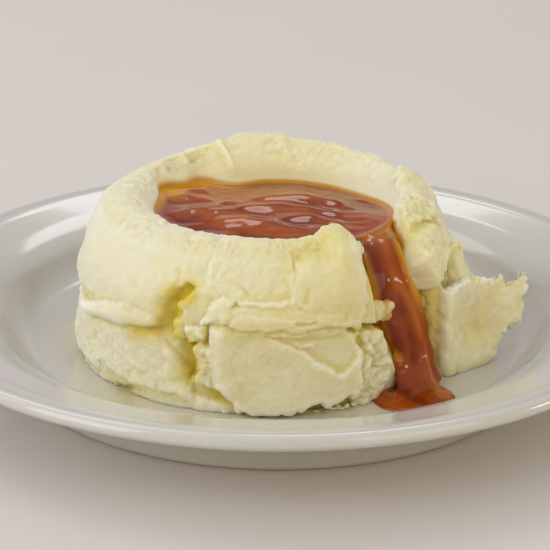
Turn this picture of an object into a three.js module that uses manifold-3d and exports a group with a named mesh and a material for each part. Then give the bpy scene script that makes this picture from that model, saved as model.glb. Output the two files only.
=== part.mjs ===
// A side of mashed potato on its own small plate: a moulded mound of mash with a hollow in its top,
// brown gravy filling the hollow and running down the front right, and a rolled-edge plate under it.
// Millimetres, +Z up. The origin is on the table under the middle of the plate, and -Y is the front.
import * as THREE from 'three';
import { mergeVertices } from 'three/addons/utils/BufferGeometryUtils.js';
import Module from 'manifold-3d';

const wasm = await Module();
wasm.setup();

// ---------------------------------------------------------------- driving dimensions

// Clearance between two pieces that touch, and the slightly wider one of the bed cut for the gravy.
const GAP = 0.3;
const BED_GAP = GAP + 0.05;

// The plate, given by radius and height.
const PLATE = {
  segments: 64,
  radius: 89,            // widest point, on the rolled edge
  rimTop: 20.2,          // crest of the rolled edge
  rimTopRadius: 87.2,
  breakRadius: 75.3,     // where the rim dips away from its edge
  breakHeight: 17.7,
  creaseRadius: 66.3,    // where the rim meets the wall of the well
  creaseHeight: 13.5,
  floorRadius: 58,       // the flat of the well
  floor: 7.4,
  footOuter: 62.6,
  footInner: 56.4,
  underside: 2.2,
};

// The mound: three rings with their own centres, from the outside to the hollow.
const WALL_CENTRE = new THREE.Vector2(-3, -6.2);
const CREST_CENTRE = new THREE.Vector2(-3, -1.3);
const POOL_CENTRE = new THREE.Vector2(-0.4, -5.8);

const MASH = {
  segments: 84,
  frontCrowding: 0.38,   // how much closer the columns stand at the front than at the back
  base: PLATE.floor + GAP,
  crestRadius: 33.3,
  crest: 44.4,           // mean height of the ring's top
  crestTilt: 2.0,        // the ring stands this much higher at the back and lower at the front
  crestStart: 28,        // the tilt fades out below this height
  craterFloor: 35.5,
  crag: 0.5,             // depth of the small unevenness of the whole surface
};

const GRAVY = {
  level: 40,
  bottom: 30,
  poolX: 27.5,           // half-widths of the pool's oval
  poolY: 25.3,
  poolSegments: 48,
  puddle: [31.2, -40.6], // middle of the puddle on the plate
  puddleSize: [9.6, 9.4],
  puddleHeight: 1.7,
};

// ---------------------------------------------------------------- small helpers

const { smoothstep, lerp, degToRad, radToDeg } = THREE.MathUtils;

// 1 inside the range low..high, falling to 0 over `soft` on each side.
const band = (value, low, high, soft) =>
  smoothstep(value, low - soft, low + soft) * (1 - smoothstep(value, high - soft, high + soft));

// Allowance when a computed radius is compared with a nominal one.
const TINY = 0.01;

// Signed difference of two azimuths, in -180..180 degrees.
const turn = (azimuth, reference) => THREE.MathUtils.euclideanModulo(azimuth - reference + 180, 360) - 180;

// 1 between two azimuths, falling to 0 over `soft` degrees on each side.
function sector(azimuth, [from, to], soft) {
  const half = (to - from) / 2;
  return band(turn(azimuth, (from + to) / 2), -half, half, soft);
}

// A wavy, repeatable unevenness between about -1 and 1.
const uneven = (x, y, z) =>
  (Math.sin(0.61 * x + 1.3 * Math.sin(0.37 * z)) + Math.sin(0.53 * y + 0.71 * z + 2.1)
    + Math.sin(0.9 * z - 0.47 * x + 0.31 * y)) / 3;

// A closed mesh as a solid: only positions count, and triangles that shrank to a line are dropped.
function toSolid(geometry) {
  const bare = geometry.index ? geometry.clone() : geometry;
  bare.deleteAttribute('normal');
  bare.deleteAttribute('uv');
  const merged = mergeVertices(bare);
  const corners = [];
  for (let i = 0; i < merged.index.count; i += 3) {
    const [a, b, c] = [0, 1, 2].map((k) => merged.index.getX(i + k));
    if (a !== b && b !== c && c !== a) corners.push(a, b, c);
  }
  return new wasm.Manifold(new wasm.Mesh({
    numProp: 3,
    vertProperties: merged.attributes.position.array,
    triVerts: new Uint32Array(corners),
  }));
}

// A solid back as three.js geometry.
function toGeometry(solid) {
  const mesh = solid.getMesh();
  const geometry = new THREE.BufferGeometry();
  geometry.setAttribute('position', new THREE.BufferAttribute(mesh.vertProperties, mesh.numProp));
  geometry.setIndex(new THREE.BufferAttribute(mesh.triVerts, 1));
  geometry.computeVertexNormals();
  return geometry;
}

// Moves every vertex of a geometry to the place that `place` gives for it.
function reshape(geometry, place) {
  const position = geometry.attributes.position;
  const point = new THREE.Vector3();
  for (let i = 0; i < position.count; i += 1) {
    point.fromBufferAttribute(position, i);
    const moved = place(point);
    position.setXYZ(i, moved.x, moved.y, moved.z);
  }
  return geometry;
}

// A profile of (radius, height) points turned round +Z, with its seam at the front.
const turned = (points, segments) => new THREE.LatheGeometry(points, segments).rotateX(Math.PI / 2);

// ---------------------------------------------------------------- plate

function plateProfile() {
  const p = PLATE;
  const path = new THREE.Path();
  path.moveTo(0, p.underside);
  path.lineTo(p.footInner - 1.6, p.underside);
  path.lineTo(p.footInner, 0);
  path.lineTo(p.footOuter - 1, 0);
  path.quadraticCurveTo(p.footOuter + 0.4, 0.4, p.footOuter + 1.4, 3.4);
  path.quadraticCurveTo(p.footOuter + 2.6, 6.6, 69.5, 9.0);
  path.lineTo(84.2, 14.9);
  path.bezierCurveTo(88.8, 15.6, p.radius + 1.7, 20.0, p.rimTopRadius, p.rimTop);
  path.quadraticCurveTo(84.6, 20.3, 82.6, 19.5);
  path.lineTo(p.breakRadius, p.breakHeight);
  path.quadraticCurveTo(70.6, 16.3, p.creaseRadius, p.creaseHeight);
  path.quadraticCurveTo(62, 8.4, p.floorRadius, p.floor);
  path.lineTo(0, p.floor);
  return path.getPoints(3);
}

// ---------------------------------------------------------------- mash

// Outline of the mound at mean height, from under it, up the wall, over the ring, into the hollow.
function moundProfile() {
  const underneath = [[0, MASH.base], [20, MASH.base], [36, MASH.base]];
  const wall = new THREE.SplineCurve([
    [42.2, MASH.base], [42.3, 14], [42.4, 20], [42.8, 26], [42.2, 32], [40.7, 37.2], [38, 41.6],
    [MASH.crestRadius, MASH.crest],
  ].map(([r, z]) => new THREE.Vector2(r, z)));
  const poolEdgePoint = [GRAVY.poolX + BED_GAP, GRAVY.level];
  const hollow = [[30.9, 43.5], [28.9, 41.8], poolEdgePoint, [24, 37], [0, MASH.craterFloor]];
  const asPoint = ([r, z]) => new THREE.Vector2(r, z);
  return [...underneath.map(asPoint), ...wall.getSpacedPoints(22), ...hollow.map(asPoint)];
}

// Layers of mash pressed on the wall. Azimuths are degrees from the front, positive to the right.
const SMEARS = [
  { az: [-112, -22], z: [22.5, 31], lift: 1.5, softAz: 5, softZ: 1.6 },    // upper layer, left
  { az: [-92, -58], z: [16.5, 21], lift: 2.0, softAz: 6, softZ: 1.6 },     // pointed shelf, far left
  { az: [-11, 32], z: [6, 27.6], lift: 3.0, softAz: 1.6, softZ: 0.9 },     // big slab, front
  { az: [-9, 29], z: [28.9, 31.6], lift: 2.2, softAz: 2.5, softZ: 0.8 },   // roll above the slab
  { az: [9, 33], z: [31.5, 43], lift: 3.8, softAz: 3, softZ: 1.6 },        // block under the spout
  { az: [-20, 8], z: [30, 41], lift: 1.2, softAz: 4, softZ: 3 },           // smooth front
  { az: [57, 82], z: [28.5, 42.5], lift: 3.2, softAz: 4, softZ: 1.8 },     // lobe right of the spout
  { az: [76, 102], z: [22, 33], lift: 2.4, softAz: 5, softZ: 2.2 },        // crumbly bulge, right
  { az: [84, 112], z: [34.5, 43], lift: 1.8, softAz: 6, softZ: 2.2 },      // shoulder, right
  { az: [33, 44], z: [6, 23], lift: 1.6, softAz: 3, softZ: 2 },            // crumbly foot by the stream
  { az: [-52, -38], z: [5, 12], lift: 3.4, softAz: 4, softZ: 2.4 },        // foot, front left
  { az: [118, 168], z: [24, 41], lift: 2.0, softAz: 6, softZ: 1.8 },       // upper layer, back
  { az: [150, 214], z: [6, 20.5], lift: 2.4, softAz: 5, softZ: 1.6 },      // low slab, back
  { az: [-146, -118], z: [9, 30], lift: 1.8, softAz: 5, softZ: 2.4 },      // upright smear, back left
];

// Clefts between the layers, as lines from one (azimuth, height) to another.
const CLEFTS = [
  { from: [-16.5, 35.6], to: [-25, 25.5], depth: 5.5, width: 2.4 },
  { from: [-22, 25], to: [-15.5, 14], depth: 4.2, width: 2.6 },
  { from: [-12, 28.3], to: [33, 28.2], depth: 1.6, width: 0.9 },
  { from: [84, 24], to: [70, 22], depth: 2.4, width: 1.8 },
  { from: [118, 22], to: [166, 23], depth: 1.6, width: 1.4 },
];

// The spout is the gap in the ring through which the gravy leaves.
const SPOUT = { az: [39, 62], drop: 6.2, soft: 6 };

// Degrees of azimuth to millimetres along the wall.
const ALONG_WALL = 0.75;

function cleftDepth(azimuth, z, { from, to, depth, width }) {
  const line = new THREE.Vector2(turn(to[0], from[0]) * ALONG_WALL, to[1] - from[1]);
  const here = new THREE.Vector2(turn(azimuth, from[0]) * ALONG_WALL, z - from[1]);
  const along = THREE.MathUtils.clamp(here.dot(line) / line.lengthSq(), 0, 1);
  const away = here.distanceTo(line.multiplyScalar(along));
  return depth * Math.exp(-((away / width) ** 2));
}

// How far the wall stands out from its mean outline.
function wallRelief(azimuth, z) {
  let out = 0;
  for (const s of SMEARS) out += s.lift * sector(azimuth, s.az, s.softAz) * band(z, s.z[0], s.z[1], s.softZ);
  for (const cleft of CLEFTS) out -= cleftDepth(azimuth, z, cleft);
  return out;
}

// Places where the ring stands higher: the back, the right shoulder, the left and the block by the spout.
const RISES = [
  { az: [-190, -166], rise: 1.4, soft: 3 },
  { az: [96, 108], rise: 2.0, soft: 4 },
  { az: [-104, -74], rise: 0.8, soft: 12 },
  { az: [22, 33], rise: 2.4, soft: 3 },
];

const crestHeight = (azimuth) => RISES.reduce(
  (height, { az, rise, soft }) => height + rise * sector(azimuth, az, soft),
  MASH.crest - MASH.crestTilt * Math.cos(degToRad(azimuth)),
);

// How far the pool's edge stands from its centre: an oval that swells into two pockets at the back left.
function poolEdge(azimuth) {
  const a = degToRad(azimuth);
  const oval = 1 / Math.hypot(Math.sin(a) / GRAVY.poolX, Math.cos(a) / GRAVY.poolY);
  const pocket = (at, width, reach) => reach * Math.exp(-((turn(azimuth, at) / width) ** 2));
  return oval + pocket(-122, 11, 4.6) + pocket(-143, 10, 5.2) - pocket(160, 30, 0.6);
}

// Takes a point of the mean mound to its real place.
function moundPlace(point) {
  const { x: px, y: py, z: pz } = point;
  const radius = Math.hypot(px, py);
  const even = Math.atan2(px, -py);
  const angle = even - MASH.frontCrowding * Math.sin(even);
  const azimuth = radToDeg(angle);
  const upper = smoothstep(pz, MASH.crestStart, MASH.crest);
  const inward = 1 - smoothstep(radius, GRAVY.poolX, MASH.crestRadius);

  let r = radius;
  const centre = new THREE.Vector2();
  if (radius > MASH.crestRadius - TINY) {
    centre.lerpVectors(WALL_CENTRE, CREST_CENTRE, upper * upper);
    const share = smoothstep(radius, 30, 41) * (1 - 0.8 * smoothstep(pz, 41, MASH.crest));
    r += share * wallRelief(azimuth, pz);
  } else {
    centre.lerpVectors(CREST_CENTRE, POOL_CENTRE, inward);
    r *= lerp(1, poolEdge(azimuth) / GRAVY.poolX, inward);
  }
  const rise = (crestHeight(azimuth) - MASH.crest) * (1 - inward);
  const drop = SPOUT.drop * sector(azimuth, SPOUT.az, SPOUT.soft) * smoothstep(pz, 36, 43);
  const out = new THREE.Vector2(Math.sin(angle), -Math.cos(angle));
  centre.addScaledVector(out, r);
  const crag = MASH.crag * uneven(centre.x, centre.y, pz) * smoothstep(pz, 9, 12) * smoothstep(radius, 20, 30);
  centre.addScaledVector(out, crag);
  return new THREE.Vector3(centre.x, centre.y, pz + upper * (rise - drop + crag * (1 - inward)));
}

// Route of the thrown smear in plan, from inside the mound round its ridge and out to the tip.
const FLAP = {
  route: [[33, -17], [36.5, -23.5], [40.6, -26.6], [46.5, -23.6], [52.3, -18.4], [58, -13.2]],
  top: [30, 29.4, 28.4, 27.4, 27.0, 28.4],
  bottom: [MASH.base, MASH.base, MASH.base, MASH.base, 18, 22.5],
  thick: [14, 12, 9.5, 7, 4.6, 2],
  proud: 1.8,            // the broad face stands this far in front of the route
  lean: 4.5,             // how far the top leans back from the foot
  across: 18,
  up: 8,
};

// A curve through evenly spaced values, read anywhere between them.
const through = (values) => new THREE.SplineCurve(values.map((v, i) => new THREE.Vector2(i, v)));

function flapGeometry() {
  const route = new THREE.SplineCurve(FLAP.route.map(([x, y]) => new THREE.Vector2(x, y)));
  const [top, bottom, thick] = [FLAP.top, FLAP.bottom, FLAP.thick].map(through);
  return reshape(new THREE.BoxGeometry(1, 1, 1, FLAP.across, 2, FLAP.up), (p) => {
    const [u, v] = [p.x + 0.5, p.z + 0.5];
    const spot = route.getPoint(u);
    const ahead = route.getTangent(u);
    const side = FLAP.proud - (p.y + 0.5) * thick.getPoint(u).y * (1 - 0.5 * v * v);
    const low = Math.max(bottom.getPoint(u).y, MASH.base);
    const z = lerp(low, top.getPoint(u).y, v);
    const back = FLAP.lean * v * u;
    return new THREE.Vector3(spot.x + side * ahead.y - 0.3 * back, spot.y - side * ahead.x + back, z);
  });
}

// A knob of mash fused to the wall.
function knob(x, y, z, rx, ry, rz) {
  const sphere = new THREE.SphereGeometry(1, 10, 7).rotateX(Math.PI / 2).scale(rx, ry, rz);
  return reshape(sphere.translate(x, y, z), (p) => {
    const swell = 1 + 0.14 * uneven(3 * p.x, 3 * p.y, 3 * p.z);
    return new THREE.Vector3(x + (p.x - x) * swell, y + (p.y - y) * swell, z + (p.z - z) * swell);
  });
}

const KNOBS = [
  [25.0, -37.2, 25.5, 2.7, 3.0, 2.5],    // lump that the stream washes round
  [41.4, -9.6, 30.6, 2.4, 3.2, 2.0],     // crumbs on the right shoulder
  [28.6, -18.4, 39.8, 3.2, 2.8, 2.4],    // head of the lobe
];

// ---------------------------------------------------------------- gravy

function poolGeometry(grow) {
  const bowl = new THREE.QuadraticBezierCurve(
    new THREE.Vector2(0, GRAVY.bottom - grow),
    new THREE.Vector2(GRAVY.poolX * 0.92, GRAVY.bottom - grow),
    new THREE.Vector2(GRAVY.poolX, GRAVY.level),
  );
  const top = grow > 0 ? GRAVY.level + 0.5 : GRAVY.level;
  const profile = [...bowl.getPoints(6)];
  if (grow > 0) profile.push(new THREE.Vector2(GRAVY.poolX, top));
  profile.push(new THREE.Vector2(GRAVY.poolX / 2, top), new THREE.Vector2(0, top));
  return reshape(turned(profile, GRAVY.poolSegments), (p) => {
    const angle = Math.atan2(p.x, -p.y);
    const share = Math.hypot(p.x, p.y) / GRAVY.poolX;
    const r = share * (poolEdge(radToDeg(angle)) + grow);
    return new THREE.Vector3(POOL_CENTRE.x + r * Math.sin(angle), POOL_CENTRE.y - r * Math.cos(angle), p.z);
  });
}

// Middle line of the stream, from inside the pool, over the spout and down to the plate.
const STREAM = {
  route: [[20.4, -14.6, 38.4], [23.6, -21.6, 38.5], [25.2, -26.8, 37.0], [26.6, -30.0, 33.4],
    [28.2, -31.0, 28.4], [30.0, -30.6, 22.6], [31.8, -30.0, 16.8], [32.8, -31.2, 12.0], [32.8, -35.2, 9.2],
    [31.8, -40.2, 8.6]],
  halfWidth: [7.2, 7.0, 7.2, 8.6, 9.2, 8.6, 7.4, 7.2, 7.6, 7.6],
  halfThick: [1.2, 1.5, 1.7, 1.9, 1.9, 1.9, 1.9, 1.8, 1.3, 0.9],
  facing: 42,            // azimuth that the stream's broad side looks to
  sides: 12,
  steps: 24,
};

function streamGeometry(grow) {
  const route = new THREE.CatmullRomCurve3(STREAM.route.map((p) => new THREE.Vector3(...p)));
  const [width, thick] = [STREAM.halfWidth, STREAM.halfThick].map(through);
  const facing = degToRad(STREAM.facing);
  const across = new THREE.Vector3(Math.cos(facing), Math.sin(facing), 0);
  return reshape(new THREE.CylinderGeometry(1, 1, 1, STREAM.sides, STREAM.steps), (p) => {
    const t = 0.5 - p.y;
    const spot = route.getPoint(t);
    const ahead = route.getTangent(t);
    const outward = new THREE.Vector3().crossVectors(across, ahead).normalize();
    // The cutter reaches far out, so that no mash is left standing in front of the stream.
    const outreach = grow > 0 && p.z > 0 ? lerp(6, 1, smoothstep(t, 0.6, 0.76)) : 1;
    const end = Math.sign(t - 0.5) * Number(Math.abs(t - 0.5) > 0.499);
    spot.addScaledVector(ahead, end * grow)
      .addScaledVector(across, p.x * (width.getPoint(t).y + grow))
      .addScaledVector(outward, -p.z * (thick.getPoint(t).y * outreach + grow));
    return grow > 0 ? spot : spot.setZ(Math.max(spot.z, MASH.base));
  });
}

function puddleGeometry(grow) {
  const [cx, cy] = GRAVY.puddle;
  const disc = turned([[0, 0], [0.9, 0], [1, 0.4], [0.88, 0.8], [0.6, 1], [0, 1]]
    .map(([r, z]) => new THREE.Vector2(r, z)), 28);
  return reshape(disc, (p) => {
    const angle = Math.atan2(p.x, -p.y);
    const wave = 1 + 0.07 * Math.sin(3 * angle + 0.6) + 0.04 * Math.sin(5 * angle);
    const spot = new THREE.Vector3(
      cx + p.x * (GRAVY.puddleSize[0] * wave + grow),
      cy + p.y * (GRAVY.puddleSize[1] * wave + grow),
      MASH.base + p.z * GRAVY.puddleHeight + (p.z > TINY ? grow : -3 * grow),
    );
    const reach = Math.min(1, PLATE.floorRadius / Math.hypot(spot.x, spot.y));
    return spot.multiply(new THREE.Vector3(reach, reach, 1));
  });
}

// The gravy as one solid. `grow` makes it fatter all round, to cut its bed out of the mash.
const gravySolid = (grow) => toSolid(poolGeometry(grow))
  .add(toSolid(streamGeometry(grow)))
  .add(toSolid(puddleGeometry(grow)));

// ---------------------------------------------------------------- assembly

const plateSolid = toSolid(turned(plateProfile(), PLATE.segments));
const gravy = gravySolid(0);
let mash = toSolid(reshape(turned(moundProfile(), MASH.segments), moundPlace))
  .add(toSolid(flapGeometry()));
for (const spec of KNOBS) mash = mash.add(toSolid(knob(...spec)));
mash = mash.subtract(gravySolid(BED_GAP));

const side = new THREE.Group();
const pieces = {
  plate: [plateSolid, { color: 0xd9d8d2, roughness: 0.22, metalness: 0 }],
  mash: [mash, { color: 0xe3dcb4, roughness: 0.62, metalness: 0 }],
  gravy: [gravy, { color: 0x8a3f12, roughness: 0.12, metalness: 0 }],
};
for (const [name, [solid, look]] of Object.entries(pieces)) {
  const mesh = new THREE.Mesh(toGeometry(solid), new THREE.MeshStandardMaterial(look));
  mesh.name = name;
  side.add(mesh);
}

export default side;
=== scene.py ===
"""A side of mashed potato with brown gravy on its own small plate.

The mound, the smear that stands out beside it, its lumps and crumbs, the gravy and the plate are each a
class that holds its own sizes, builds its mesh and dresses it. Sizes are millimetres in the frame that
all pieces share, azimuths are degrees from the front, positive to the right, and meshes are in metres.
"""

import itertools
import logging
import math
from dataclasses import dataclass, field
from enum import Enum

import bmesh
import bpy
import numpy as np
from mathutils import Matrix, Vector


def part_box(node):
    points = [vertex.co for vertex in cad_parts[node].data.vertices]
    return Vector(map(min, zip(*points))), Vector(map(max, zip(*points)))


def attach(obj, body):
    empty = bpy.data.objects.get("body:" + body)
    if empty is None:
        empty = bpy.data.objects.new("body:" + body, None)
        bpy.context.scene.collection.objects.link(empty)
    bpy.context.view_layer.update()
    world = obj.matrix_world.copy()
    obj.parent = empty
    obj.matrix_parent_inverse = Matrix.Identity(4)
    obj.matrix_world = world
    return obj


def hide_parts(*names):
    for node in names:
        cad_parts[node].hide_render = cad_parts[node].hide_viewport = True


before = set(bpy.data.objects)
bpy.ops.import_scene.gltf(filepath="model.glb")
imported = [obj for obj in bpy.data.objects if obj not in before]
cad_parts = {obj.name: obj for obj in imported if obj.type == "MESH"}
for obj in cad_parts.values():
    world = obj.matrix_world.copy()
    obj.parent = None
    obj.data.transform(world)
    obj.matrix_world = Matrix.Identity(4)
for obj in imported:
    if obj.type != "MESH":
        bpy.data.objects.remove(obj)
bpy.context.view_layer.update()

LOG = logging.getLogger("mashed_potato_side")
MM = 0.001
ALONG_WALL = 0.75  # millimetres along the mound's wall for one degree of azimuth
SEAT = 7.35  # how high the mash and the gravy start, a hair under the plate's upper face
MOUND_CENTRE = (-3.0, -6.2)  # the middle of the mound's foot
POOL_LEVEL = 40.0  # how high the gravy stands in the hollow
FINE_SHARE = 0.4  # how much of the fine grain goes into the height of a mottled finish

Pair = tuple[float, float]
Triple = tuple[float, float, float]
Array = np.ndarray


class Node(Enum):
    """The solids that the pieces stand for."""

    PLATE = "plate"
    MASH = "mash"
    GRAVY = "gravy"


# ---------------------------------------------------------------- small helpers


def smoothstep(value: Array, low: float, high: float) -> Array:
    """Rises softly from 0 at `low` to 1 at `high`."""
    share = np.clip((value - low) / (high - low), 0.0, 1.0)
    return share * share * (3.0 - 2.0 * share)


def mix(start: Array, end: Array, share: Array) -> Array:
    """The value between two others, at a share of the way."""
    return start + (end - start) * share


def turn(azimuth: Array, reference: float) -> Array:
    """Signed difference of two azimuths, in -180..180 degrees."""
    return (azimuth - reference + 180.0) % 360.0 - 180.0


def azimuth_of(away: Array) -> Array:
    """The azimuth, in degrees, in which (x, y) distances from a middle point."""
    return np.degrees(np.arctan2(away[..., 0], -away[..., 1]))


def sector(azimuth: Array, ends: Pair, soft: float) -> Array:
    """1 between two azimuths, falling to 0 over `soft` degrees on each side.

    Args:
        azimuth: azimuths in degrees.
        ends: the two azimuths.
        soft: how many degrees to each side of them the fall takes.

    Returns:
        The share at each azimuth, in 0..1.
    """
    half = (ends[1] - ends[0]) / 2
    value = turn(azimuth, (ends[0] + ends[1]) / 2)
    rising = smoothstep(value, -half - soft, -half + soft)
    return rising * (1.0 - smoothstep(value, half - soft, half + soft))


def hump(value: Array, width: float) -> Array:
    """A bell of height 1 that falls off over `width`."""
    return np.exp(-((value / width) ** 2))


def smooth_path(points: tuple, count: int) -> Array:
    """Reads a smooth curve through some points.

    Args:
        points: the points that the curve runs through, of any dimension.
        count: how many places to read, evenly spaced from point to point.

    Returns:
        One row for each place on the curve.
    """
    corners = np.array(points, float).reshape(len(points), -1)
    place = np.linspace(0.0, len(corners) - 1.0, count)
    index = np.minimum(place.astype(int), len(corners) - 2)
    part = (place - index)[:, None]
    before, start, end, after = (
        corners[np.clip(index + step, 0, len(corners) - 1)] for step in (-1, 0, 1, 2)
    )
    slope_in = (end - before) / 2
    slope_out = (after - start) / 2
    cubic = 2 * start - 2 * end + slope_in + slope_out
    square = -3 * start + 3 * end - 2 * slope_in - slope_out
    return ((cubic * part + square) * part + slope_in) * part + start


def evenly(path: Array, count: int) -> Array:
    """The same path read at `count` places that are equally far apart along it.

    Args:
        path: the points of the path, one a row.
        count: how many places to read.

    Returns:
        The places, one a row.
    """
    steps = np.linalg.norm(np.diff(path, axis=0), axis=1)
    along = np.concatenate([[0.0], np.cumsum(steps)])
    places = np.linspace(0.0, along[-1], count)
    return np.stack([np.interp(places, along, column) for column in path.T], axis=1)


def linear(red: int, green: int, blue: int) -> tuple[float, float, float, float]:
    """A colour given in 0..255 display values, as the linear colour that a shader takes.

    Args:
        red: the red share.
        green: the green share.
        blue: the blue share.

    Returns:
        Red, green and blue in linear light, and an alpha of 1.
    """
    shares = [value / 255 for value in (red, green, blue)]
    light = [s / 12.92 if s <= 0.04045 else ((s + 0.055) / 1.055) ** 2.4 for s in shares]
    return (*light, 1.0)


class Crag:
    """Repeatable unevenness, worked out for whole arrays of points at once."""

    TABLE = 256
    GAIN = 1.6  # brings the waves to a height of about 1
    SHIFT = (17.3, -9.1, 5.7)  # how far apart the coarse and the finer waves are read

    def __init__(self, seed: int) -> None:
        """Draws the tables of directions and places from one seed.

        Args:
            seed: picks the tables.
        """
        chance = np.random.default_rng(seed)
        self.order = chance.permutation(self.TABLE)
        directions = chance.normal(size=(self.TABLE, 3))
        self.directions = directions / np.linalg.norm(directions, axis=1, keepdims=True)
        self.seats = chance.random((self.TABLE, 3))

    def _entry(self, cell: Array) -> Array:
        """The table entry of each cell of the lattice.

        Args:
            cell: the whole numbers of each cell, in the last axis.

        Returns:
            One number for each cell.
        """
        last = self.TABLE - 1
        first = self.order[cell[..., 0] & last]
        second = self.order[(first + cell[..., 1]) & last]
        return self.order[(second + cell[..., 2]) & last]

    def wave(self, points: Array, size: float) -> Array:
        """Smooth unevenness between about -1 and 1 whose waves are about `size` long.

        Args:
            points: places, in the last axis.
            size: how long the waves are.

        Returns:
            One value for each place.
        """
        scaled = points / size
        cell = np.floor(scaled).astype(int)
        part = scaled - cell
        fade = part**3 * (part * (part * 6 - 15) + 10)
        total = np.zeros(points.shape[:-1])
        for corner in itertools.product((0, 1), repeat=3):
            offset = np.array(corner)
            direction = self.directions[self._entry(cell + offset)]
            weight = np.prod(np.where(offset == 1, fade, 1 - fade), axis=-1)
            total += weight * np.sum(direction * (part - offset), axis=-1)
        return total * self.GAIN

    def rough(self, points: Array, size: float, octaves: int = 3) -> Array:
        """Unevenness with ever finer waves on it, each half as long and half as high."""
        shift = np.array(self.SHIFT)
        return sum(self.wave(points + shift * k, size / 2**k) / 2**k for k in range(octaves))

    def crumbs(self, points: Array, size: float) -> Array:
        """1 in the middle of each crumb of about `size`, 0 where crumbs meet.

        Args:
            points: places, in the last axis.
            size: how wide a crumb is.

        Returns:
            One value for each place, in 0..1.
        """
        scaled = points / size
        cell = np.floor(scaled).astype(int)
        nearest = np.full(points.shape[:-1], 4.0)
        for step in itertools.product((-1, 0, 1), repeat=3):
            near = cell + np.array(step)
            away = scaled - near - self.seats[self._entry(near)]
            nearest = np.minimum(nearest, np.sum(away * away, axis=-1))
        return np.clip(1.0 - nearest, 0.0, 1.0)


# ---------------------------------------------------------------- meshes and objects


def write_mesh(bm: bmesh.types.BMesh, name: str) -> bpy.types.Mesh:
    """Writes a bmesh to a new mesh and frees it.

    Args:
        bm: the finished bmesh.
        name: the mesh's name.

    Returns:
        The new mesh.
    """
    mesh = bpy.data.meshes.new(name)
    bm.to_mesh(mesh)
    bm.free()
    return mesh


def put_in_scene(name: str, data: bpy.types.ID) -> bpy.types.Object:
    """Makes an object of a mesh, a lamp or a camera and links it to the scene.

    Args:
        name: the object's name.
        data: the mesh, lamp or camera.

    Returns:
        The object.
    """
    made = bpy.data.objects.new(name, data)
    bpy.context.scene.collection.objects.link(made)
    return made


class RolledGrid:
    """A grid rolled round +Z and closed: rows run along a section, columns round the axis."""

    WELD = 1e-7  # vertices of the seam that are nearer than this, in metres, become one

    def __init__(self, rows: int, columns: int) -> None:
        """Makes the flat grid.

        Args:
            rows: how many places the section has, with its first and last on the axis.
            columns: how many steps the full turn has.
        """
        self.columns = columns
        self.bm = bmesh.new()
        bmesh.ops.create_grid(self.bm, x_segments=columns, y_segments=rows - 1, size=0.5)
        spots = np.array([vert.co for vert in self.bm.verts]) + 0.5
        self.row = np.rint(spots[:, 1] * (rows - 1)).astype(int)
        self.step = np.rint(spots[:, 0] * columns).astype(int)
        self.seam = (self.step % columns == 0) | (self.row % (rows - 1) == 0)

    def angles(self) -> Array:
        """The even angle from the front of each column, in radians; the seam is at the back."""
        return np.arange(self.columns) * (math.tau / self.columns) + math.pi

    def to_mesh(self, name: str, points: Array, masks: dict[str, Array]) -> bpy.types.Mesh:
        """Rolls the grid up, closes it and writes the mesh.

        Args:
            name: the mesh's name.
            points: rows x columns x 3 places in millimetres.
            masks: rows x columns values that become vertex attributes.

        Returns:
            The finished mesh, in metres.
        """
        seat = (self.row, self.step % self.columns)
        mesh = write_mesh(self.bm, name)
        place_vertices(mesh, points[seat])
        for label, values in masks.items():
            set_mask(mesh, label, values[seat])
        bm = bmesh.new()
        bm.from_mesh(mesh)
        bm.verts.ensure_lookup_table()
        seam = [bm.verts[index] for index in np.flatnonzero(self.seam)]
        bmesh.ops.remove_doubles(bm, verts=seam, dist=self.WELD)
        bmesh.ops.recalc_face_normals(bm, faces=bm.faces)
        bm.to_mesh(mesh)
        bm.free()
        return mesh


def place_vertices(mesh: bpy.types.Mesh, points: Array) -> None:
    """Moves the vertices of a mesh to places given in millimetres."""
    mesh.vertices.foreach_set("co", (points * MM).astype(np.float32).ravel())
    mesh.update()


def read_vertices(mesh: bpy.types.Mesh) -> Array:
    """The places of the vertices of a mesh, in millimetres.

    Args:
        mesh: the mesh to read.

    Returns:
        One place a row.
    """
    spots = np.empty(len(mesh.vertices) * 3, np.float32)
    mesh.vertices.foreach_get("co", spots)
    return spots.reshape(-1, 3).astype(float) / MM


def read_normals(mesh: bpy.types.Mesh) -> Array:
    """The normals of the vertices of a mesh.

    Args:
        mesh: the mesh to read.

    Returns:
        One direction a row.
    """
    normals = np.empty(len(mesh.vertices) * 3, np.float32)
    mesh.vertices.foreach_get("normal", normals)
    return normals.reshape(-1, 3).astype(float)


def set_mask(mesh: bpy.types.Mesh, label: str, values: Array) -> None:
    """Stores one value in 0..1 for each vertex, for the finish to read."""
    layer = mesh.attributes.get(label) or mesh.attributes.new(label, "FLOAT", "POINT")
    layer.data.foreach_set("value", np.clip(values, 0.0, 1.0).astype(np.float32))


def softened(values: Array, rounds: int) -> Array:
    """A grid of values blurred a number of times, round the columns and along the rows.

    Args:
        values: rows x columns values.
        rounds: how often to blur them.

    Returns:
        The blurred grid.
    """
    for _ in range(rounds):
        values = (np.roll(values, 1, 1) + 2 * values + np.roll(values, -1, 1)) / 4
        padded = np.pad(values, ((1, 1), (0, 0)), mode="edge")
        values = (padded[:-2] + 2 * values + padded[2:]) / 4
    return values


def envelope(values: Array, reach: int) -> Array:
    """The highest value within some cells of each cell of a grid.

    Args:
        values: rows x columns values.
        reach: how many cells to look to each side.

    Returns:
        The highest value near each cell.
    """
    high = values
    for step in range(1, reach + 1):
        high = np.maximum(high, np.maximum(np.roll(values, step, 1), np.roll(values, -step, 1)))
    best = high
    for step in range(1, reach + 1):
        padded = np.pad(high, ((step, step), (0, 0)), mode="edge")
        best = np.maximum(best, np.maximum(padded[: -2 * step], padded[2 * step:]))
    return best


# ---------------------------------------------------------------- finishes


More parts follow.
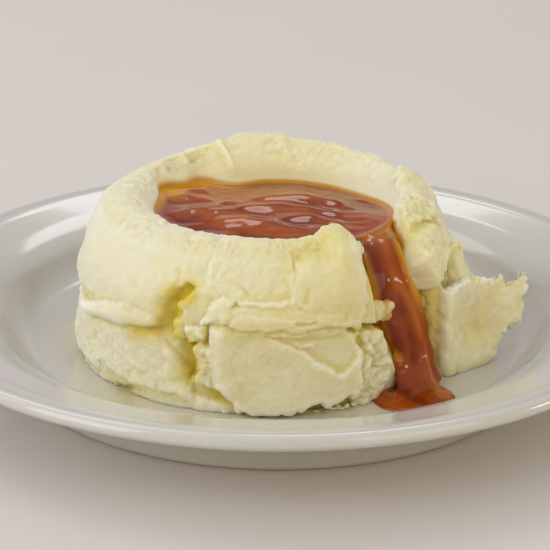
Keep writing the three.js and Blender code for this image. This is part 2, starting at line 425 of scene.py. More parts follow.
class Wiring:
    """Builds the nodes of one tree by short calls."""

    MIX_INPUTS = (0, 6, 7)  # the sockets of a colour mix: its share and its two colours
    MIX_OUTPUT = 2

    def __init__(self, tree: bpy.types.NodeTree) -> None:
        """Keeps the tree that the nodes go into."""
        self.tree = tree

    def node(self, kind: str, **settings: object) -> bpy.types.Node:
        """Adds a node and sets its properties.

        Args:
            kind: the type of the node.
            settings: its properties.

        Returns:
            The node.
        """
        made = self.tree.nodes.new(kind)
        for key, value in settings.items():
            setattr(made, key, value)
        return made

    def join(self, source: bpy.types.NodeSocket, target: bpy.types.NodeSocket) -> None:
        """Links one socket to another."""
        self.tree.links.new(source, target)

    def blend(self, share: object, start: object, end: object) -> bpy.types.NodeSocket:
        """Mixes two colours, each a socket or a fixed colour.

        Args:
            share: a socket or number, 0 for the first colour and 1 for the second.
            start: the first colour.
            end: the second colour.

        Returns:
            The socket of the mixed colour.
        """
        made = self.node("ShaderNodeMix", data_type="RGBA")
        for number, value in zip(self.MIX_INPUTS, (share, start, end)):
            if isinstance(value, bpy.types.NodeSocket):
                self.join(value, made.inputs[number])
            else:
                made.inputs[number].default_value = value
        return made.outputs[self.MIX_OUTPUT]

    def span(self, value: bpy.types.NodeSocket, ends: Pair, results: Pair = (0.0, 1.0),
             **settings: object) -> bpy.types.NodeSocket:
        """Maps a value from one range to another, held at its ends.

        Args:
            value: the socket to map.
            ends: the range that it comes in.
            results: the range that it is taken to.
            settings: further properties of the node.

        Returns:
            The socket of the mapped value.
        """
        made = self.node("ShaderNodeMapRange", **settings)
        self.join(value, made.inputs["Value"])
        limits = ("From Min", "From Max", "To Min", "To Max")
        for label, number in zip(limits, (*ends, *results)):
            made.inputs[label].default_value = number
        return made.outputs["Result"]


class Shade(Wiring):
    """One material, with a Principled BSDF that the nodes lead to."""

    def __init__(self, name: str) -> None:
        """Starts the material.

        Args:
            name: the material's name.
        """
        self.material = bpy.data.materials.new(name)
        self.material.use_nodes = True
        super().__init__(self.material.node_tree)
        self.bsdf = next(n for n in self.tree.nodes if n.type == "BSDF_PRINCIPLED")

    def mask(self, label: str) -> bpy.types.NodeSocket:
        """The value that a vertex attribute gives."""
        return self.node("ShaderNodeAttribute", attribute_name=label).outputs["Fac"]

    def lay(self, colour: bpy.types.NodeSocket, coats: dict[str, tuple]) -> bpy.types.NodeSocket:
        """Lays colours over a first one, each where the mask of its name says.

        Args:
            colour: the first colour.
            coats: the colours by the names of their masks, lowest first.

        Returns:
            The socket of the colour on top.
        """
        for label, coat in coats.items():
            colour = self.blend(self.mask(label), colour, coat)
        return colour

    def feed(self, colour: bpy.types.NodeSocket, roughness: bpy.types.NodeSocket) -> None:
        """Feeds the shader's colour and roughness."""
        self.join(colour, self.bsdf.inputs["Base Color"])
        self.join(roughness, self.bsdf.inputs["Roughness"])

    def mottle(self, scale: float, detail: float, grain: float) -> bpy.types.Node:
        """The shared unevenness, placed with this material's own scale.

        Args:
            scale: how many patches there are to a metre.
            detail: how much finer structure they have.
            grain: how many times finer the grain is than the patches.

        Returns:
            The group's node, with the outputs Patch, Fine and Height.
        """
        made = self.node("ShaderNodeGroup", node_tree=mottle_group())
        self.join(self.node("ShaderNodeTexCoord").outputs["Object"], made.inputs["Vector"])
        made.inputs["Scale"].default_value = scale
        made.inputs["Detail"].default_value = detail
        made.inputs["Grain"].default_value = grain
        return made

    def bump(self, height: bpy.types.NodeSocket, distance: float, strength: float = 1.0) -> None:
        """Feeds a height to the shader's normal.

        Args:
            height: the socket of the height.
            distance: how high the relief is, in metres.
            strength: how much of it shows.
        """
        made = self.node("ShaderNodeBump")
        made.inputs["Distance"].default_value = distance
        made.inputs["Strength"].default_value = strength
        self.join(height, made.inputs["Height"])
        self.join(made.outputs["Normal"], self.bsdf.inputs["Normal"])

    def fix(self, values: dict[str, object]) -> None:
        """Sets the shader's constant sockets."""
        for label, value in values.items():
            self.bsdf.inputs[label].default_value = value


def mottle_group() -> bpy.types.NodeTree:
    """The node group that all finishes share: a soft patchiness and a fine grain on it.

    Returns:
        The group, built at its first use, with the outputs Patch, Fine and Height.
    """
    existing = bpy.data.node_groups.get("mottle")
    if existing:
        return existing
    group = bpy.data.node_groups.new("mottle", "ShaderNodeTree")
    face = group.interface
    face.new_socket("Vector", in_out="INPUT", socket_type="NodeSocketVector")
    for label, value in (("Scale", 100.0), ("Detail", 3.0), ("Grain", 6.0)):
        face.new_socket(label, in_out="INPUT", socket_type="NodeSocketFloat").default_value = value
    for label in ("Patch", "Fine", "Height"):
        face.new_socket(label, in_out="OUTPUT", socket_type="NodeSocketFloat")
    wiring = Wiring(group)
    entry = wiring.node("NodeGroupInput").outputs
    leave = wiring.node("NodeGroupOutput").inputs
    finer = wiring.node("ShaderNodeMath", operation="MULTIPLY")
    wiring.join(entry["Scale"], finer.inputs[0])
    wiring.join(entry["Grain"], finer.inputs[1])
    noises = []
    for scale in (entry["Scale"], finer.outputs[0]):
        noise = wiring.node("ShaderNodeTexNoise")
        for label, source in (("Vector", entry["Vector"]), ("Scale", scale), ("Detail", entry["Detail"])):
            wiring.join(source, noise.inputs[label])
        noises.append(noise.outputs["Fac"])
    patch, fine = noises
    height = wiring.node("ShaderNodeMath", operation="MULTIPLY_ADD")
    height.inputs[1].default_value = FINE_SHARE
    wiring.join(fine, height.inputs[0])
    wiring.join(patch, height.inputs[2])
    for label, source in (("Patch", patch), ("Fine", fine), ("Height", height.outputs[0])):
        wiring.join(source, leave[label])
    return group


@dataclass(frozen=True)
class MashFinish:
    """Smooth buttery mash: cream, with a painted highlight along torn edges and painted shade, as yellow, in
    its dips, hollows and clefts.
    """

    body: tuple = linear(236, 234, 208)
    patch: tuple = linear(236, 230, 196)
    # painted highlight on raised torn edges
    torn: tuple = linear(247, 247, 232)
    # painted shade in small dips
    dip_shade: tuple = linear(230, 218, 158)
    # painted shade in low places between high ones
    hollow: tuple = linear(226, 212, 130)
    # painted shade, deepest yellow, in clefts
    cleft: tuple = linear(212, 188, 40)
    stain: tuple = linear(210, 150, 44)
    name: str = "mash"
    scatter: float = 0.0022
    roughness: Pair = (0.40, 0.58)

    def material(self) -> bpy.types.Material:
        """Builds the finish from three masks: painted light and shade, painted shade in low places and
        clefts, and the gravy's stain.

        Returns:
            The material.
        """
        shade = Shade(self.name)
        mottle = shade.mottle(scale=160.0, detail=4.0, grain=9.0)
        patchy = shade.span(mottle.outputs["Patch"], (0.35, 0.65))
        colour = shade.blend(patchy, self.body, self.patch)
        # Painted light and shade: whiter on raised torn edges, yellower in dips.
        painted_light_shade = shade.mask("painted_light_shade")
        colour = shade.blend(shade.span(painted_light_shade, (0.5, 1.0), (0.0, 0.9)), colour, self.torn)
        colour = shade.blend(shade.span(painted_light_shade, (0.5, 0.0)), colour, self.dip_shade)
        # Painted shade: yellow in low places between high ones, deepest in clefts.
        deep = shade.mask("deep")
        colour = shade.blend(shade.span(deep, (0.0, 0.55)), colour, self.hollow)
        colour = shade.blend(shade.span(deep, (0.5, 1.0)), colour, self.cleft)
        colour = shade.lay(colour, {"stain": self.stain})
        shade.feed(colour, shade.span(mottle.outputs["Fine"], (0.3, 0.7), self.roughness))
        shade.bump(mottle.outputs["Height"], distance=0.0005, strength=0.6)
        shade.fix({
            "IOR": 1.42,
            "Specular IOR Level": 0.35,
            "Subsurface Weight": 0.75,
            "Subsurface Radius": (1.0, 0.85, 0.35),
            "Subsurface Scale": self.scatter,
        })
        return shade.material


@dataclass(frozen=True)
class GravyFinish:
    """Glossy brown gravy, amber where its film is thin, with painted sheen and painted shade in streaks and
    patches.
    """

    body: tuple = linear(160, 72, 4)
    streak: tuple = linear(144, 58, 2)
    thin: tuple = linear(212, 146, 12)
    # painted sheen: a light streak down the stream, pale streaks and pale patches on the pool
    milky: tuple = linear(192, 104, 38)
    dark: tuple = linear(112, 34, 2)
    roughness: Pair = (0.03, 0.07)

    def material(self) -> bpy.types.Material:
        """Builds the finish from three masks: the thin film, the painted sheen and the painted shade.

        Returns:
            The material.
        """
        shade = Shade("gravy")
        mottle = shade.mottle(scale=70.0, detail=0.5, grain=4.0)
        colour = shade.blend(shade.span(mottle.outputs["Patch"], (0.4, 0.62)), self.body, self.streak)
        colour = shade.lay(colour, {"painted_sheen": self.milky, "shade": self.dark, "film": self.thin})
        shade.feed(colour, shade.span(mottle.outputs["Fine"], (0.3, 0.7), self.roughness))
        shade.bump(mottle.outputs["Height"], distance=0.00005, strength=0.2)
        shade.fix({
            "IOR": 1.45,
            "Specular IOR Level": 0.38,
            "Subsurface Weight": 0.15,
            "Subsurface Radius": (1.0, 0.5, 0.12),
            "Subsurface Scale": 0.0015,
        })
        return shade.material


@dataclass(frozen=True)
class GlazeFinish:
    """Off-white glazed stoneware, bare and rougher on the foot ring, with painted shade under the rim."""

    glaze: tuple = linear(210, 209, 203)
    # glaze that lies thicker, also used as painted shade under the rim
    pooled_and_shade: tuple = linear(200, 197, 186)
    bare: tuple = linear(196, 186, 170)
    milky: tuple = linear(222, 211, 180)
    roughness: Pair = (0.10, 0.17)
    bare_roughness: float = 0.75

    def material(self) -> bpy.types.Material:
        """Builds the finish from three masks: pooled glaze with painted shade under the rim, the bare foot
        and the milky film.

        Returns:
            The material.
        """
        shade = Shade("glazed stoneware")
        mottle = shade.mottle(scale=26.0, detail=2.0, grain=30.0)
        patchy = shade.span(mottle.outputs["Patch"], (0.42, 0.7), (0.0, 0.5))
        colour = shade.blend(patchy, self.glaze, self.pooled_and_shade)
        colour = shade.lay(colour, {"pooled_and_shade": self.pooled_and_shade, "bare": self.bare, "milky": self.milky})
        fine = shade.span(mottle.outputs["Fine"], (0.3, 0.7), self.roughness)
        rough = shade.node("ShaderNodeMix", data_type="FLOAT")
        shade.join(shade.mask("bare"), rough.inputs[0])
        shade.join(fine, rough.inputs[2])
        rough.inputs[3].default_value = self.bare_roughness
        shade.feed(colour, rough.outputs[0])
        shade.bump(mottle.outputs["Fine"], distance=0.00003, strength=0.2)
        shade.fix({"IOR": 1.5, "Coat Weight": 0.4, "Coat Roughness": 0.06})
        return shade.material


@dataclass(frozen=True)
class FloorFinish:
    """A plain pale floor."""

    colour: tuple = linear(226, 220, 215)
    shaded: tuple = linear(221, 215, 210)

    def material(self) -> bpy.types.Material:
        """Builds the finish.

        Returns:
            The material.
        """
        shade = Shade("pale floor")
        mottle = shade.mottle(scale=9.0, detail=2.0, grain=12.0)
        colour = shade.blend(mottle.outputs["Patch"], self.colour, self.shaded)
        shade.join(colour, shade.bsdf.inputs["Base Color"])
        shade.fix({"Roughness": 0.85, "Specular IOR Level": 0.2})
        return shade.material


# ---------------------------------------------------------------- handing a piece to the frame


def hand_over(name: str, mesh: bpy.types.Mesh, node: Node, finish: bpy.types.Material) -> bpy.types.Object:
    """Makes a piece of a finished mesh and ties it to the frame.

    Args:
        name: the piece's name.
        mesh: its mesh, in metres and in place.
        node: the solid that it stands for.
        finish: its material.

    Returns:
        The piece.
    """
    mesh.materials.clear()
    mesh.materials.append(finish)
    mesh.polygons.foreach_set("use_smooth", [True] * len(mesh.polygons))
    piece = put_in_scene(name, mesh)
    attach(piece, "root")
    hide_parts(node.value)
    LOG.info("%s: %d vertices, %d faces", name, len(mesh.vertices), len(mesh.polygons))
    return piece


# ---------------------------------------------------------------- plate


@dataclass
class Plate:
    """The rolled-edge side plate: a flat well, a curved wall, a dished rim and a foot ring."""

    radius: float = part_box("plate")[1].x / MM
    rim_top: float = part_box("plate")[1].z / MM
    rim_top_radius: float = 87.2
    shoulder: Pair = (82.6, 19.5)
    break_point: Pair = (75.3, 17.7)
    crease_point: Pair = (66.3, 13.5)
    floor_radius: float = 58.0
    floor: float = 7.4
    underside: float = 2.2
    foot_inner: float = 56.4
    foot_outer: float = 62.6
    foot_top: Pair = (64.0, 3.4)
    under_wall: Pair = (69.5, 9.0)
    under_rim: Pair = (79.3, 12.9)
    under_edge: Pair = (86.1, 16.0)
    unevenness: float = 0.10
    pooling: Pair = (64.0, 3.5)  # radius and width of the ring in which the glaze lies thicker
    underside_shade: Pair = (63.5, 13.0)  # beyond this radius and below this height the same colour is painted shade, under the rim and low on the well's wall
    film_edge: float = 46.0
    columns: int = 288
    bend: int = 10

    def _arc(self, start: Pair, handle: Pair, end: Pair) -> Array:
        """Points of a bend that a handle draws out between two ends, without the first end.

        Args:
            start: the first end, as radius and height.
            handle: what draws the bend out.
            end: the other end.

        Returns:
            The points, one a row.
        """
        share = np.linspace(0.0, 1.0, self.bend + 1)[1:, None]
        first, middle, last = (np.array(place) for place in (start, handle, end))
        return mix(mix(first, middle, share), mix(middle, last, share), share)

    def profile(self) -> Array:
        """The plate's section as (radius, height) points, from under its middle round to the top.

        Returns:
            The points, one a row.
        """
        inner, outer, low, floor = self.foot_inner, self.foot_outer, self.underside, self.floor
        top = (self.rim_top_radius, self.rim_top)
        widest = (self.radius - 0.04, 18.6)
        parts = [
            np.array([(0, low), (18, low), (36, low), (inner - 3, low)]),
            self._arc((inner - 3, low), (inner - 0.8, low - 0.1), (inner - 0.3, 0.5)),
            self._arc((inner - 0.3, 0.5), (inner, 0.0), (inner + 0.7, 0.0)),
            np.array([(outer - 1.6, 0.0), (outer - 0.9, 0.0)]),
            self._arc((outer - 0.9, 0.0), (outer + 0.4, 0.4), self.foot_top),
            self._arc(self.foot_top, (outer + 2.6, 6.6), self.under_wall),
            np.array([(74.4, 11.0), self.under_rim]),
            self._arc(self.under_rim, (84.2, 14.9), self.under_edge),
            self._arc(self.under_edge, (self.radius + 0.3, 17.4), widest),
            self._arc(widest, (self.radius - 0.5, self.rim_top), top),
            self._arc(top, (84.6, self.rim_top + 0.1), self.shoulder),
            self._arc(self.shoulder, (79.5, 18.7), self.break_point),
            self._arc(self.break_point, (70.6, 16.3), self.crease_point),
            self._arc(self.crease_point, (62, 8.4), (self.floor_radius, floor)),
            np.array([(48, floor - 0.05), (36, floor - 0.05), (18, floor), (0, floor)]),
        ]
        return np.concatenate(parts)

    def build(self) -> bpy.types.Object:
        """Makes the plate and dresses it.

        Returns:
            The piece.
        """
        profile = self.profile()
        grid = RolledGrid(len(profile), self.columns)
        angle = grid.angles()[None, :]
        radius, height = profile[:, :1], profile[:, 1:]
        points = np.stack(np.broadcast_arrays(radius * np.sin(angle), -radius * np.cos(angle), height), -1)
        uneven = Crag(3).wave(points, 34.0) * smoothstep(height, 6.0, 12.0)
        points = points + np.array([0, 0, 1]) * (self.unevenness * uneven)[..., None]
        ring = np.ones_like(angle)
        (crease, width), (wall, low) = self.pooling, self.underside_shade
        # The glaze pools in the crease; under the rim and low on the well's wall the same colour is painted
        # shade.
        pooled_and_shade = hump(radius - crease, width) * (height > 8) + 0.6 * (height < low) * (radius > wall)
        masks = {"pooled_and_shade": pooled_and_shade * ring, "bare": (height < 0.5) * ring, "milky": self.film(points)}
        mesh = grid.to_mesh("plate_glazed", points, masks)
        return hand_over("plate_glazed", mesh, Node.PLATE, GlazeFinish().material())

    def film(self, points: Array) -> Array:
        """Where a thin milky film has run out of the mash on to the plate, widest at the left.

        Args:
            points: places on the plate.

        Returns:
            How milky each place is, in 0..1.
        """
        away = points[..., :2] - np.array(MOUND_CENTRE)
        azimuth = azimuth_of(away)
        reach = np.linalg.norm(away, axis=-1) + 2.2 * Crag(7).rough(points, 9.0, 3)
        edge = self.film_edge + 5.5 * sector(azimuth, (-66, -26), 14) + 1.6 * sector(azimuth, (-20, 20), 10)
        return 0.7 * (1 - smoothstep(reach, edge, edge + 1.2)) * (points[..., 2] > 7.0)


# ---------------------------------------------------------------- shapes that lie on the mound's wall


def flat_corners(path: tuple[Pair, ...], azimuth: Array) -> tuple[Array, Array]:
    """Takes a path and some azimuths from degrees to millimetres along the wall.

    Args:
        path: (azimuth, height) places.
        azimuth: the azimuths to measure, in degrees.

    Returns:
        The path's corners and the azimuths, both in millimetres from the path's middle.
    """
    corners = np.array(path, float)
    middle = corners[:, 0].mean()
    corners[:, 0] = (corners[:, 0] - middle) * ALONG_WALL
    return corners, turn(azimuth, middle) * ALONG_WALL


def from_edge(along: Array, height: Array, start: Array, end: Array) -> tuple[Array, Array, Array]:
    """Measures places against one straight edge.

    Args:
        along: the places' distances along the wall.
        height: their heights.
        start: the edge's first end.
        end: its second end.

    Returns:
        How far each place is from the edge along the wall and upwards, and on which side of it.
    """
    run, climb = end - start
    right, up = along - start[0], height - start[1]
    share = np.clip((right * run + up * climb) / (run * run + climb * climb), 0, 1)
    right, up = right - run * share, up - climb * share
    return right, up, run * up - climb * right


@dataclass(frozen=True)
class Smear:
    """A layer of mash pressed on the wall, given by the (azimuth, height) corners of its outline."""

    outline: tuple[Pair, ...]
    lift: float
    edge: float = 1.0
    torn: float = 0.8
    lip: float = 0.0
    smooth: float = 0.7
    lean: float = 0.0
    swing: float = 0.0

    def inside(self, azimuth: Array, height: Array) -> Array:
        """How far inside its outline a place is, in millimetres, negative outside.

        Args:
            azimuth: the azimuth of each place, in degrees.
            height: its height on the mean section, in millimetres.

        Returns:
            The distance of each place from the outline.
        """
        corners, along = flat_corners(self.outline, azimuth)
        best = np.full(along.shape, np.inf)
        within = np.zeros(along.shape, bool)
        for start, end in zip(corners, np.roll(corners, -1, 0)):
            right, up, _ = from_edge(along, height, start, end)
            best = np.minimum(best, right**2 + up**2)
            if start[1] != end[1]:
                crosses = (start[1] > height) != (end[1] > height)
                share = (height - start[1]) / (end[1] - start[1])
                within ^= crosses & (along < start[0] + share * (end[0] - start[0]))
        return np.where(within, 1.0, -1.0) * np.sqrt(best)

    def level(self, azimuth: Array, height: Array) -> Array:
        """How far its face stands out from the mean wall.

        Args:
            azimuth: the azimuth of each place, in degrees.
            height: its height on the mean section, in millimetres.

        Returns:
            The distance at each place, in millimetres.
        """
        middle = np.mean(self.outline, axis=0)
        rise = self.lean * (height - middle[1]) + self.swing * turn(azimuth, middle[0])
        return np.maximum(self.lift + rise, 0.0)


@dataclass(frozen=True)
class Furrow:
    """A cleft along a line of (azimuth, height) places, or a ridge where its depth is negative."""

    path: tuple[Pair, ...]
    depth: float
    left: float = 0.8
    right: float = 0.8
    jag: float = 0.5
    # painted shade, as yellow, that the cleft puts on the mash round it, and how far it reaches
    cleft_shade: float = 0.0
    cleft_shade_width: float = 2.6

    def depth_at(self, azimuth: Array, height: Array) -> tuple[Array, Array]:
        """How deep the cleft is at a place, and how much painted shade, as yellow, it puts on the mash round
        it.

        Args:
            azimuth: the azimuth of each place, in degrees.
            height: its height on the mean section, in millimetres.

        Returns:
            The depth in millimetres, and the painted shade in 0..1.
        """
        corners, along = flat_corners(self.path, azimuth)
        best = np.full(along.shape, np.inf)
        side = np.zeros(along.shape)
        for start, end in zip(corners, corners[1:]):
            right, up, turned = from_edge(along, height, start, end)
            away = np.hypot(right, up)
            side = np.where(away < best, turned, side)
            best = np.minimum(best, away)
        # Seen from the front with the line running down, a negative side is on its left.
        width = np.where(side < 0, self.left, self.right)
        return self.depth * hump(best, width), self.cleft_shade * hump(best, self.cleft_shade_width)


# Layers in the order in which they lie on each other, from the left round to the back.
SMEARS = (
    # Upper left: the smooth shelf, whose lower edge hangs over the wall, and its pointed flake.
    Smear(((-118, 26.5), (-98, 26), (-82, 25.6), (-72, 25), (-66, 24.4), (-60, 23.4), (-48, 23.6),
           (-42, 24.2), (-38, 24.8), (-33, 25.5), (-30.4, 27), (-29.8, 29.4), (-27.6, 32.5), (-25.4, 34.8),
           (-23, 36.2), (-20, 35.2), (-8, 35), (6, 36), (6, 52), (-118, 52)),
          lift=1.25, edge=2.4, torn=0.35, smooth=0.85, lean=0.03),
    Smear(((-84, 9), (-82, 23), (-60, 23), (-33, 24), (-26, 20), (-22, 16), (-20, 9)),
          lift=1.6, edge=2.6, torn=0.4, smooth=0.6, lean=-0.13),
    Smear(((-70, 22.9), (-66, 21.6), (-62.9, 21.3), (-57, 22.1), (-52, 22.6), (-43.5, 23.1), (-37.3, 24.4),
           (-31, 25.3), (-33, 28), (-42.2, 29.3), (-51.7, 27.7), (-58.4, 25.9), (-64, 24.6), (-68.5, 23.8)),
          lift=2.5, edge=2.6, torn=0.25, smooth=0.8, lean=-0.12, swing=-0.03),
    # Front left: the apron between the big cleft and the block, and the lumps under it.
    Smear(((-20.4, 35.4), (-21.2, 34.6), (-22.6, 33), (-24.8, 31.8), (-24.9, 31), (-23.2, 30),
           (-24, 28.6), (-25.2, 27.4), (-25, 26), (-24.6, 24.6), (-23, 23.2), (-20.6, 22.2), (-18.2, 21.6),
           (-16, 24), (-15, 28), (-8, 33), (8, 33), (10, 31), (10, 52), (-16, 52), (-17, 37)),
          lift=1.4, edge=1.1, torn=0.4, lip=0.2, smooth=0.7, lean=0.05),
    Smear(((-25.8, 24.9), (-23.6, 26.4), (-20.5, 27.6), (-17, 27.2), (-16.6, 24.6), (-18.6, 23.8),
           (-22.4, 23.5), (-25, 23.8)), lift=2.3, edge=1.5, torn=0.6, lip=0.1, smooth=0.3),
    Smear(((-17.4, 27.8), (-16.2, 30), (-15.2, 32.2), (-13.9, 34), (-10.8, 35), (-9, 34.4), (-7, 33),
           (-5.4, 31.9), (-6.5, 29.5), (-9, 28.3), (-13.4, 28)),
          lift=2.5, edge=2.4, torn=0.3, smooth=0.85),
    # The foot of the wall, which spreads a little.
    Smear(((-72, 3), (-72, 9), (-56, 10.4), (-40, 11), (-24, 10.8), (-12, 10.4), (0, 9), (0, 3)),
          lift=1.9, edge=3.2, torn=0.3, smooth=0.6),
    # What the block, the roll and the slab lie on.
    Smear(((-10, 24), (-9, 30), (-7, 34.2), (0, 34.4), (8, 34.6), (10, 39), (28, 39), (31, 30), (29, 25)),
          lift=2.6, edge=2.6, torn=0.2, smooth=0.85),
    # The big slab with its set-back left part and its facet at the upper right.
    Smear(((-19.6, 22.8), (-19.4, 20.2), (-18, 17), (-19.2, 15), (-17, 13.6), (-12, 12.4),
           (-10, 16), (-11, 22.6), (-15, 23.4)),
          lift=2.3, edge=1.4, torn=0.6, lip=0.2, smooth=0.35),
    Smear(((-15.4, 22), (-15.2, 26.4), (-14.4, 28), (-12.6, 28.5), (-10, 28.3), (-8, 27.6), (-5, 27.1),
           (-0.6, 27.3), (1.9, 26.9), (5.3, 27.1), (8.3, 26.5), (10.8, 26.5), (13.2, 26.9), (18.7, 26.9),
           (21.6, 26.7), (25.6, 26.5), (27.3, 24.9), (28, 23), (29.3, 21.7), (30.8, 20.4), (31.3, 18.6),
           (30, 16.7), (30.3, 13.8), (30, 11.9), (29, 10.8), (27.6, 9), (26, 9.7), (25.3, 10.4),
           (22, 9.6), (19, 8.6), (16.4, 9.6), (13.4, 9.4), (11, 8.4), (7, 7.8), (-2, 7.4),
           (-7, 8.6), (-8.6, 11), (-11.6, 12.8), (-13.6, 15), (-14.4, 18.4)),
          lift=3.0, edge=1.8, torn=0.4, smooth=0.75, lean=-0.13),
    Smear(((-0.6, 26.6), (4.4, 25.3), (9.5, 23), (11.8, 22.2), (14.2, 20.8), (16.7, 19.3), (19.2, 18.2),
           (22.6, 16.4), (25.5, 17.4), (28.2, 19.5), (27.4, 23), (25.6, 25.6), (18, 25.9), (10, 26)),
          lift=1.8, edge=1.2, torn=0.3, lip=-0.1, smooth=0.85, lean=-0.06, swing=0.03),
    # The roll that lies on the slab.
    Smear(((-8.6, 28.4), (-7, 31), (-5.5, 31.7), (-2.1, 31.5), (1.9, 31.1), (5.3, 30.9), (8, 30.5),
           (10.3, 30), (15.7, 30.2), (18.7, 29.8), (20.1, 29), (23.6, 28.5), (26, 28.3), (25.6, 27.4),
           (21.6, 27.5), (18.7, 27.9), (15.7, 27.6), (13.2, 27.6), (10.8, 27), (8.3, 27), (5.3, 27.7),
           (1.9, 27.4), (-0.6, 27.8), (-5, 27.6)),
          lift=2.9, edge=1.0, torn=0.3, smooth=0.75),
    # The block under the spout.
    Smear(((8.2, 37.5), (9, 40), (10.8, 41.4), (13.2, 41.9), (16.7, 42.3), (19.7, 42.6), (22.6, 44),
           (24, 49), (33, 49), (32.6, 41), (32.6, 36), (32.4, 31), (31, 28.8), (28.5, 28.2),
           (25, 28.6), (23, 29.6), (20.6, 30.6), (15.2, 31), (12, 31.4), (10, 32.4), (8.7, 35)),
          lift=3.0, edge=3.2, torn=0.4, smooth=0.85, swing=0.03, lean=0.16),
    # Crumbly foot by the stream, and the foot at the front left.
    Smear(((29.5, 24.6), (33, 24.9), (37, 24), (40, 22.4), (41.5, 20), (42.5, 16.5), (41, 13),
           (38.8, 11), (38, 8), (37.4, 4), (28, 4), (29, 10), (30, 14), (30.5, 20)),
          lift=1.7, edge=1.2, torn=0.9, smooth=0.0),
    Smear(((-57.5, 7), (-56.6, 12), (-54.9, 12.7), (-52, 12.4), (-46.8, 11.5), (-45.2, 10.2),
           (-44.8, 7), (-45, 4), (-57, 4)), lift=1.7, edge=1.6, torn=0.4, lip=0.1, smooth=0.5),
    # Right of the spout: the lobe, the crumbly bulge behind it, and the shoulder.
    Smear(((54, 40), (55, 47), (96, 47), (98, 39), (84, 39.5), (74, 40.5), (64, 41)),
          lift=2.4, edge=2.2, torn=0.8, lip=0.1, smooth=0.15),
    Smear(((52.5, 44), (51.5, 40), (52, 36), (54, 32), (56.5, 29.2), (60, 28.2), (64, 29.2), (69, 31.6),
           (74, 33.6), (79, 35.6), (79, 38), (76, 39.8), (66, 41.2), (58, 42.6)),
          lift=3.5, edge=3.0, torn=0.7, smooth=0.35),
    Smear(((71, 19), (90, 18), (101, 21), (102, 30), (94, 35), (84, 37), (76, 35), (71, 31)),
          lift=3.2, edge=3.6, torn=0.9, smooth=0.4, lean=-0.06),
    Smear(((84, 34.5), (98, 33.8), (112, 35), (114, 46), (84, 46)),
          lift=1.8, edge=2.8, torn=0.7, smooth=0.55),
    # The back, which has plain pressed layers.
    Smear(((116, 24.6), (126, 22.4), (140, 24.8), (156, 23), (170, 25), (176, 33), (166, 40), (144, 42),
           (122, 38)),
          lift=1.4, edge=2.2, torn=0.7, lip=0.1, smooth=0.75, lean=-0.05),
    Smear(((146, 5), (214, 5), (222, 11), (212, 17), (196, 21), (180, 19), (166, 20.8), (150, 16)),
          lift=1.7, edge=1.8, torn=0.7, lip=0.1, smooth=0.7),
    Smear(((-152, 12), (-136, 6), (-112, 8), (-108, 17), (-116, 26), (-130, 30), (-144, 24)),
          lift=1.0, edge=2.4, torn=0.7, lip=0.1, smooth=0.7),
)

FURROWS = (
    # The big cleft at the left, open and soft on its left side, and the pockets beside it.
    Furrow(((-21.8, 34.8), (-24.6, 33.2), (-26.4, 31.4), (-26, 29.4), (-27, 27.4), (-26.6, 25.4)), 1.6,
           left=1.6, right=0.7, jag=0.2, cleft_shade=1.0),
    Furrow(((-27, 33.4), (-28.6, 30), (-29, 26.8), (-30, 25.2)), 0.9,
           left=2.6, right=1.4, jag=0.2, cleft_shade=0.75),
    Furrow(((-25.7, 38.6), (-25.7, 36.6), (-25.9, 34.7)), 0.4, left=0.9, right=0.9, jag=0.3),
    Furrow(((-21.6, 22.9), (-19.9, 22.9), (-20.9, 21.9)), 1.6, left=0.7, right=0.7, jag=0.1),
    Furrow(((-21.2, 22.6), (-21, 19), (-21.2, 15.6)), 2.2, left=2.8, right=0.8, jag=0.3, cleft_shade=0.9),
    Furrow(((-60, 26.4), (-66, 26.2), (-71, 26)), 0.4, jag=0.2),
    # Below the shelf, and beside the foot.
    Furrow(((-27.6, 25), (-34, 24), (-40, 22.8)), 0.5, right=1.6, jag=0.3, cleft_shade=0.7),
    Furrow(((-47.4, 7.8), (-43.4, 8), (-41, 9)), 1.4, left=0.7, right=0.7, jag=0.2, cleft_shade=0.5),
    # The thin line under the roll, and the long hole at its right end.
    Furrow(((-8, 27.7), (-5, 27.3), (-0.6, 27.5), (1.9, 27.1), (5.3, 27.5), (8.3, 26.8), (10.8, 26.8),
            (13.2, 27.3), (18.7, 27.5), (21.6, 27.2), (25, 26.8)), 0.5,
           left=0.5, right=0.5, jag=0.1, cleft_shade=0.25),
    Furrow(((25.6, 26.4), (28, 25.3), (31.5, 25.4), (34, 25), (37, 24.3), (41, 23.6)), 3.2,
           left=0.6, right=0.7, jag=0.15, cleft_shade=0.3),
    Furrow(((9.8, 29.2), (12, 28.9), (14.8, 29.1)), 0.7, left=0.4, right=0.5, jag=0.2),
    # Grooves on the block and beside it, and the valley above the roll.
    Furrow(((22.6, 41.4), (20, 42.2), (16.7, 42.7), (13, 42.4), (9.5, 41.6)), 0.5,
           left=0.7, right=0.7, cleft_shade=0.2),
    Furrow(((13.2, 36.4), (12.8, 35.4), (12.2, 34.6)), 0.5, left=0.9, right=0.9),
    Furrow(((-7, 32.9), (0, 32.9), (6, 32.6), (9.4, 32.6)), 0.5, left=1.7, right=0.9),
    Furrow(((-6, 37), (-4.4, 35.6)), 0.5),
    # Ridges on the slab.
    Furrow(((-11.4, 27), (-11.4, 22), (-10.6, 15)), -1.1, left=1.5, right=2.6, jag=0.3),
    Furrow(((5.8, 26), (9.3, 24.7), (11.4, 23.7), (14, 23.9)), -0.5, left=0.6, right=0.6),
    Furrow(((15, 19.4), (19, 17.6), (22.6, 15.8)), -0.35, left=0.9, right=0.9),
    # Under the lobe, and at the back.
    Furrow(((79, 34.4), (74, 31.6), (68, 29), (61, 27.4)), 2.2, left=0.9, right=1.0, cleft_shade=0.7),
    Furrow(((52, 43.4), (58, 42.4), (65, 41.4), (75, 40.2)), 0.9, left=0.7, right=0.7, cleft_shade=0.3),
    Furrow(((118, 22), (142, 22.6), (166, 22.4)), 1.8, left=1.1, right=1.1),
)


# ---------------------------------------------------------------- the stream of gravy


